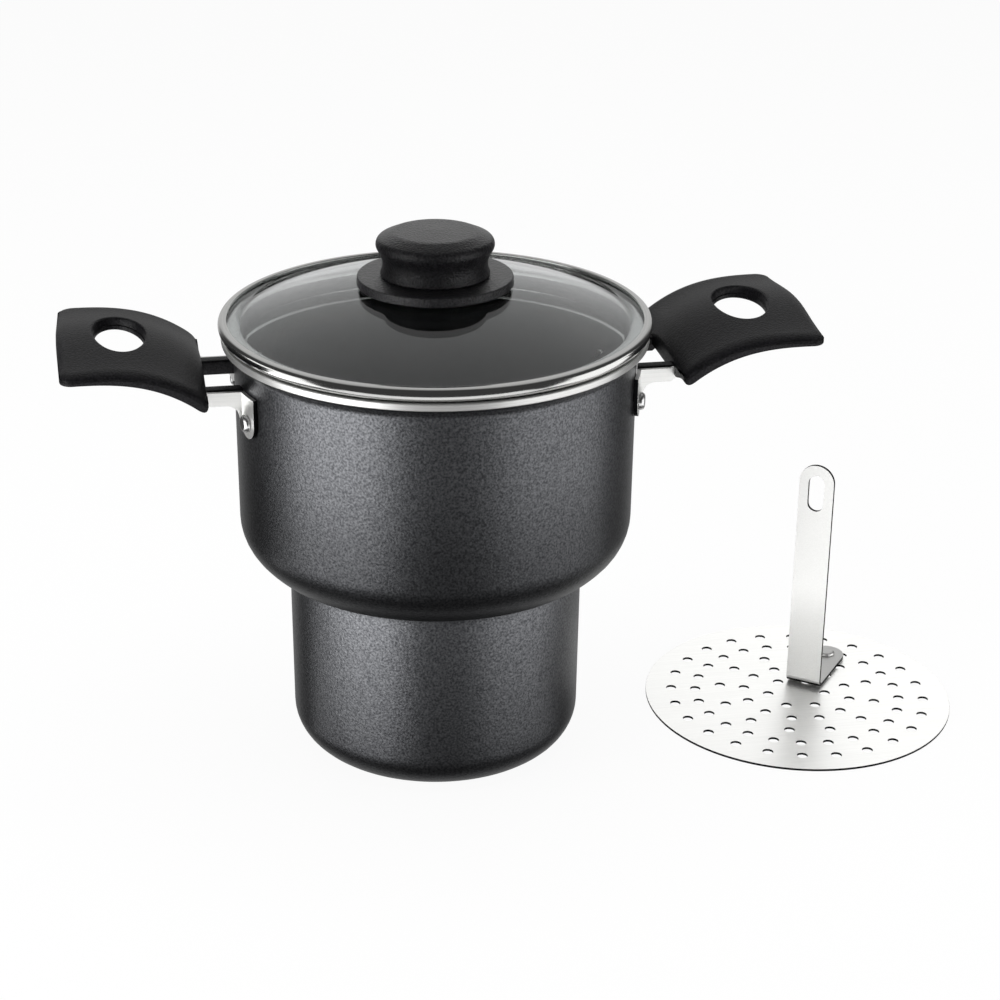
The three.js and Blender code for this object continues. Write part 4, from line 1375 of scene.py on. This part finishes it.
        path_y, path_z = out + self.strip_offset, up + self.foot_height
        w, along = flat.points.T
        folded = np.stack([w, np.interp(along, travel, path_y), np.interp(along, travel, path_z)], -1)
        return Surface(folded, flat.faces)

    def sheet_metal(self, name: str, node: str, surface: Surface, thickness: float, toward: float) -> None:
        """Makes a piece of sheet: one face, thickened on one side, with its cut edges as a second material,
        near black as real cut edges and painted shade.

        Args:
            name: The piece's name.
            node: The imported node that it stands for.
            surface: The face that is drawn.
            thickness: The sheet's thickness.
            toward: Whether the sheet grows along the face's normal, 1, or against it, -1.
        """
        made = self.add(name, self.placed(surface), Body.STRAINER, node, "satin_steel")
        gauge = made.modifiers.new("gauge", "SOLIDIFY")
        gauge.thickness, gauge.offset = thickness * MM, toward
        # The rim, the cut edges and the walls of the holes, take the second, near-black material, which is
        # partly painted shade.
        gauge.use_even_offset, gauge.material_offset_rim = True, 1
        Edges.SHEARED.cut(made)

    def build(self) -> None:
        """Makes the plate, the strip and the rivet that joins them."""
        self.sheet_metal("strainer_plate", "strainer_disc", self.disc(), self.thickness, -1.0)
        self.sheet_metal("lifting_strip", "strainer_strip", self.strip(), self.strip_sheet, 1.0)
        seat = self.foot_height + self.strip_sheet + self.rivet_gap
        rivet = lathe([
            (0.0, self.rivet_gap, 0.0),
            (self.rivet_shank, self.rivet_gap, 0.0),
            (self.rivet_shank, seat, 0.0),
            (self.rivet_radius, seat, 0.0),
            (self.rivet_radius, seat + self.rivet_head, self.rivet_round),
            (0.0, seat + self.rivet_head, 0.0),
        ]).moved(0.0, self.rivet_offset, 0.0)
        self.add("strip_rivet", self.placed(rivet), Body.STRAINER, "strainer_rivet", "satin_steel")

    def dress(self) -> None:
        """Gives the sheet its satin face, its near-black cut edges, partly painted shade, and a painted shade
        line under the fold.
        """
        self.paint("strainer_plate", SATIN_STEEL, SHEARED_EDGE_AND_SHADE)
        mesh = self.paint("lifting_strip", SATIN_STEEL, SHEARED_EDGE_AND_SHADE)
        # Painted shade: the tilted faces of the strip's bend, between steep and flat, take the near-black
        # edge finish.
        bend_tilt_for_painted_shade = np.abs(face_values(mesh, "normal")[1])
        steepest, flattest = 0.35, 0.98
        give_faces(mesh, (bend_tilt_for_painted_shade > steepest) & (bend_tilt_for_painted_shade < flattest))
        self.paint("strip_rivet", SATIN_STEEL)


# The pieces that the low card in front lights, whose fronts would else stay black.
FRONT_LIT = (
    "handle_left", "handle_right", "bracket_left", "bracket_right",
    "rivet_left_front", "rivet_right_front", "knob_disc",
)
# The pieces with lamps of their own, which the large softboxes leave out.
OWN_LIT = ("steel_band", "knob")


@dataclass(frozen=True)
class Softbox:
    """A soft lamp in metres: a lit rectangle at an azimuth from the front, turned toward the pot."""

    name: str
    azimuth: float
    distance: float
    height: float
    width: float
    tall: float
    radiance: float
    only: tuple[str, ...] = ()
    but: tuple[str, ...] = ()
    aim_height: float = 0.1

    def build(self) -> None:
        """Makes the lamp, whose power is pi times its radiance and area, and says which pieces it lights."""
        lamp = bpy.data.lights.new(self.name, "AREA")
        lamp.shape = "RECTANGLE"
        lamp.size, lamp.size_y = self.width, self.tall
        lamp.energy = self.radiance * math.pi * self.width * self.tall
        made = bpy.data.objects.new(self.name, lamp)
        angle = math.radians(self.azimuth)
        made.location = (self.distance * math.sin(angle), -self.distance * math.cos(angle), self.height)
        aim = Vector((0.0, 0.0, self.aim_height)) - made.location
        made.rotation_euler = aim.to_track_quat("-Z", "Y").to_euler()
        bpy.context.scene.collection.objects.link(made)
        if self.only or self.but:
            lit = bpy.data.collections.new(f"{self.name}_pieces")
            for name in self.only or self.but:
                lit.objects.link(bpy.data.objects[name])
            for entry in lit.collection_objects:
                entry.light_linking.link_state = "INCLUDE" if self.only else "EXCLUDE"
            made.light_linking.receiver_collection = lit


@dataclass
class Studio:
    """The white floor, the surroundings and the lamps.

    The floor is left out of reflections, so that the metal shows the cards that stand lower than the floor.
    """

    floor_size: float = 8.0
    floor_drop: float = 0.0003
    floor_colour: str = "#d0d0d0"
    shown_share: float = 0.94
    back_level: float = 0.58
    room_level: float = 0.05
    back: tuple[float, float, float] = (0.155, 0.988, 0.0)
    back_fade: tuple[float, float] = (-0.25, 0.25)
    side: tuple[float, float, float] = (0.988, -0.155, 0.0)
    side_fade: tuple[float, float] = (0.65, 0.4)
    lamps: tuple[Softbox, ...] = (
        Softbox("left_softbox", -65.0, 1.2, 0.05, 1.35, 1.5, 3.4, but=("lifting_strip", *OWN_LIT)),
        Softbox("left_low_card", -110.0, 1.2, -0.64, 0.5, 0.26, 2.2),
        Softbox("right_softbox", 61.0, 1.25, 0.0, 1.7, 1.4, 1.68, but=OWN_LIT),
        Softbox("top_fill", 0.0, 0.02, 1.5, 1.3, 1.3, 2.8, only=("floor",)),
        Softbox("front_card", -9.0, 1.3, -0.55, 2.0, 0.9, 0.32, but=OWN_LIT),
        Softbox("band_card", -9.0, 0.7, -0.9, 2.4, 0.9, 1.0, only=("steel_band",)),
        Softbox("band_left", -97.0, 1.2, -0.2, 1.0, 1.4, 1.5, only=("steel_band",)),
        Softbox("band_right", 84.0, 1.2, -0.2, 1.1, 1.4, 1.3, only=("steel_band",)),
        Softbox("handle_card", -9.0, 1.2, -0.5, 2.4, 0.7, 1.15, only=FRONT_LIT),
        Softbox("knob_left", -68.0, 1.2, 0.0, 0.9, 1.5, 2.4, only=("knob",)),
        Softbox("knob_right", 50.0, 1.2, 0.0, 0.9, 1.5, 2.2, only=("knob",)),
        Softbox("knob_card", 171.0, 1.2, 0.6, 1.4, 0.5, 1.1, only=("knob", "knob_disc")),
        Softbox("plate_softbox", 143.0, 0.49, 0.2, 0.6, 0.45, 0.78, only=("strainer_plate",)),
        Softbox("plate_fill", 0.0, 0.02, 1.2, 2.5, 2.5, 0.5, only=("strainer_plate",)),
        Softbox("strip_softbox", -65.0, 1.2, 0.05, 1.5, 1.8, 1.95, only=("lifting_strip", "strip_rivet")),
    )

    def seen(self, tree: Tree) -> Socket:
        """Gives the socket that is one for rays that the camera sends, also through glass.

        Args:
            tree: The node tree.

        Returns:
            The socket.
        """
        path = add_node(tree, "LightPath").outputs
        rays = {0: path["Is Camera Ray"], 1: path["Is Transmission Ray"]}
        return add_node(tree, "Math", rays, operation="MAXIMUM").outputs[0]

    def floor(self) -> None:
        """Makes the floor: white to the camera but for a share of its own shading, which keeps the shadow."""
        half = self.floor_size / 2.0
        mesh = bpy.data.meshes.new("floor")
        corners = np.array([[-half, -half], [half, -half], [half, half], [-half, half]])
        mesh.from_pydata(np.insert(corners, 2, -self.floor_drop, axis=1).tolist(), [], [(0, 1, 2, 3)])
        made = bpy.data.objects.new("floor", mesh)
        bpy.context.scene.collection.objects.link(made)
        made.visible_glossy = False
        paint = bpy.data.materials.new("painted_floor")
        paint.use_nodes = True
        tree = paint.node_tree
        tree.nodes.clear()
        seen = self.seen(tree)
        tones = {SHARE: seen, FIRST: linear(self.floor_colour), SECOND: WHITE}
        tone = add_node(tree, "Mix", tones, data_type="RGBA").outputs[MIXED]
        matt = add_node(tree, "BsdfDiffuse", {"Color": tone})
        white = add_node(tree, "Emission", {"Color": WHITE, "Strength": 1.0})
        share = add_node(tree, "Math", {0: seen, 1: self.shown_share}, operation="MULTIPLY").outputs[0]
        mixed = add_node(tree, "MixShader", {0: share, 1: matt.outputs[0], 2: white.outputs[0]})
        add_node(tree, "OutputMaterial", {"Surface": mixed.outputs[0]})
        mesh.materials.append(paint)

    def surroundings(self) -> None:
        """Makes the world: white to the camera, and to the object a pale backdrop in a dark room.

        The backdrop is where the direction has a part toward the back and little to the sides.
        """
        world = bpy.data.worlds.new("surroundings")
        bpy.context.scene.world = world
        world.use_nodes = True
        tree = world.node_tree
        tree.nodes.clear()
        way = add_node(tree, "TexCoord").outputs["Generated"]
        fades = []
        for axis, (dark, bright) in ((self.back, self.back_fade), (self.side, self.side_fade)):
            part = add_node(tree, "VectorMath", {0: way, 1: axis}, operation="DOT_PRODUCT").outputs["Value"]
            if axis is self.side:
                part = add_node(tree, "Math", {0: part}, operation="ABSOLUTE").outputs[0]
            inputs = {"Value": part, "From Min": dark, "From Max": bright}
            fade = add_node(tree, "MapRange", inputs, interpolation_type="SMOOTHSTEP")
            fades.append(fade.outputs["Result"])
        share = add_node(tree, "Math", {0: fades[0], 1: fades[1]}, operation="MULTIPLY").outputs[0]
        levels = {"Value": share, "To Min": self.room_level, "To Max": self.back_level}
        level = add_node(tree, "MapRange", levels).outputs["Result"]
        room = add_node(tree, "Background", {"Color": WHITE, "Strength": level})
        white = add_node(tree, "Background", {"Color": WHITE, "Strength": 1.0})
        mixed = add_node(tree, "MixShader", {0: self.seen(tree), 1: room.outputs[0], 2: white.outputs[0]})
        add_node(tree, "OutputWorld", {"Surface": mixed.outputs[0]})

    def build(self) -> None:
        """Makes the floor, the surroundings and the lamps."""
        self.floor()
        self.surroundings()
        for lamp in self.lamps:
            lamp.build()
        bpy.context.scene.view_settings.view_transform = "Standard"


@dataclass
class Viewpoint:
    """The camera: its lens, its place in millimetres and its direction, worked out from the pot's outline."""

    lens: float = 82.75
    sensor: float = 36.0
    place: tuple[float, float, float] = (-131.0, -838.9, 473.5)
    azimuth: float = -9.0
    elevation: float = 23.56
    shift: float = 0.06
    clip: tuple[float, float] = (0.05, 50.0)

    def build(self) -> None:
        """Makes the camera and sets it as the scene's."""
        camera = bpy.data.cameras.new("camera")
        camera.lens, camera.sensor_width, camera.shift_x = self.lens, self.sensor, self.shift
        camera.clip_start, camera.clip_end = self.clip
        made = bpy.data.objects.new("camera", camera)
        made.location = Vector(self.place) * MM
        turn, tilt = math.radians(self.azimuth), math.radians(self.elevation)
        aim = Vector((-math.sin(turn) * math.cos(tilt), math.cos(turn) * math.cos(tilt), -math.sin(tilt)))
        made.rotation_euler = aim.to_track_quat("-Z", "Y").to_euler()
        bpy.context.scene.collection.objects.link(made)
        bpy.context.scene.camera = made


def main() -> None:
    """Builds the camera, the steamer's sub-assemblies and the studio that lights them, in order."""
    logging.basicConfig(level=logging.INFO, format="%(name)s: %(message)s")
    Viewpoint().build()
    for assembly in (Pot(), Lid(), SideHandle(side=Side.RIGHT), SideHandle(side=Side.LEFT), Strainer()):
        assembly.build()
        assembly.dress()
        LOG.info("finished %s: %s", type(assembly).__name__, ", ".join(assembly.pieces))
    Studio().build()


if __name__ == "__main__":
    main()
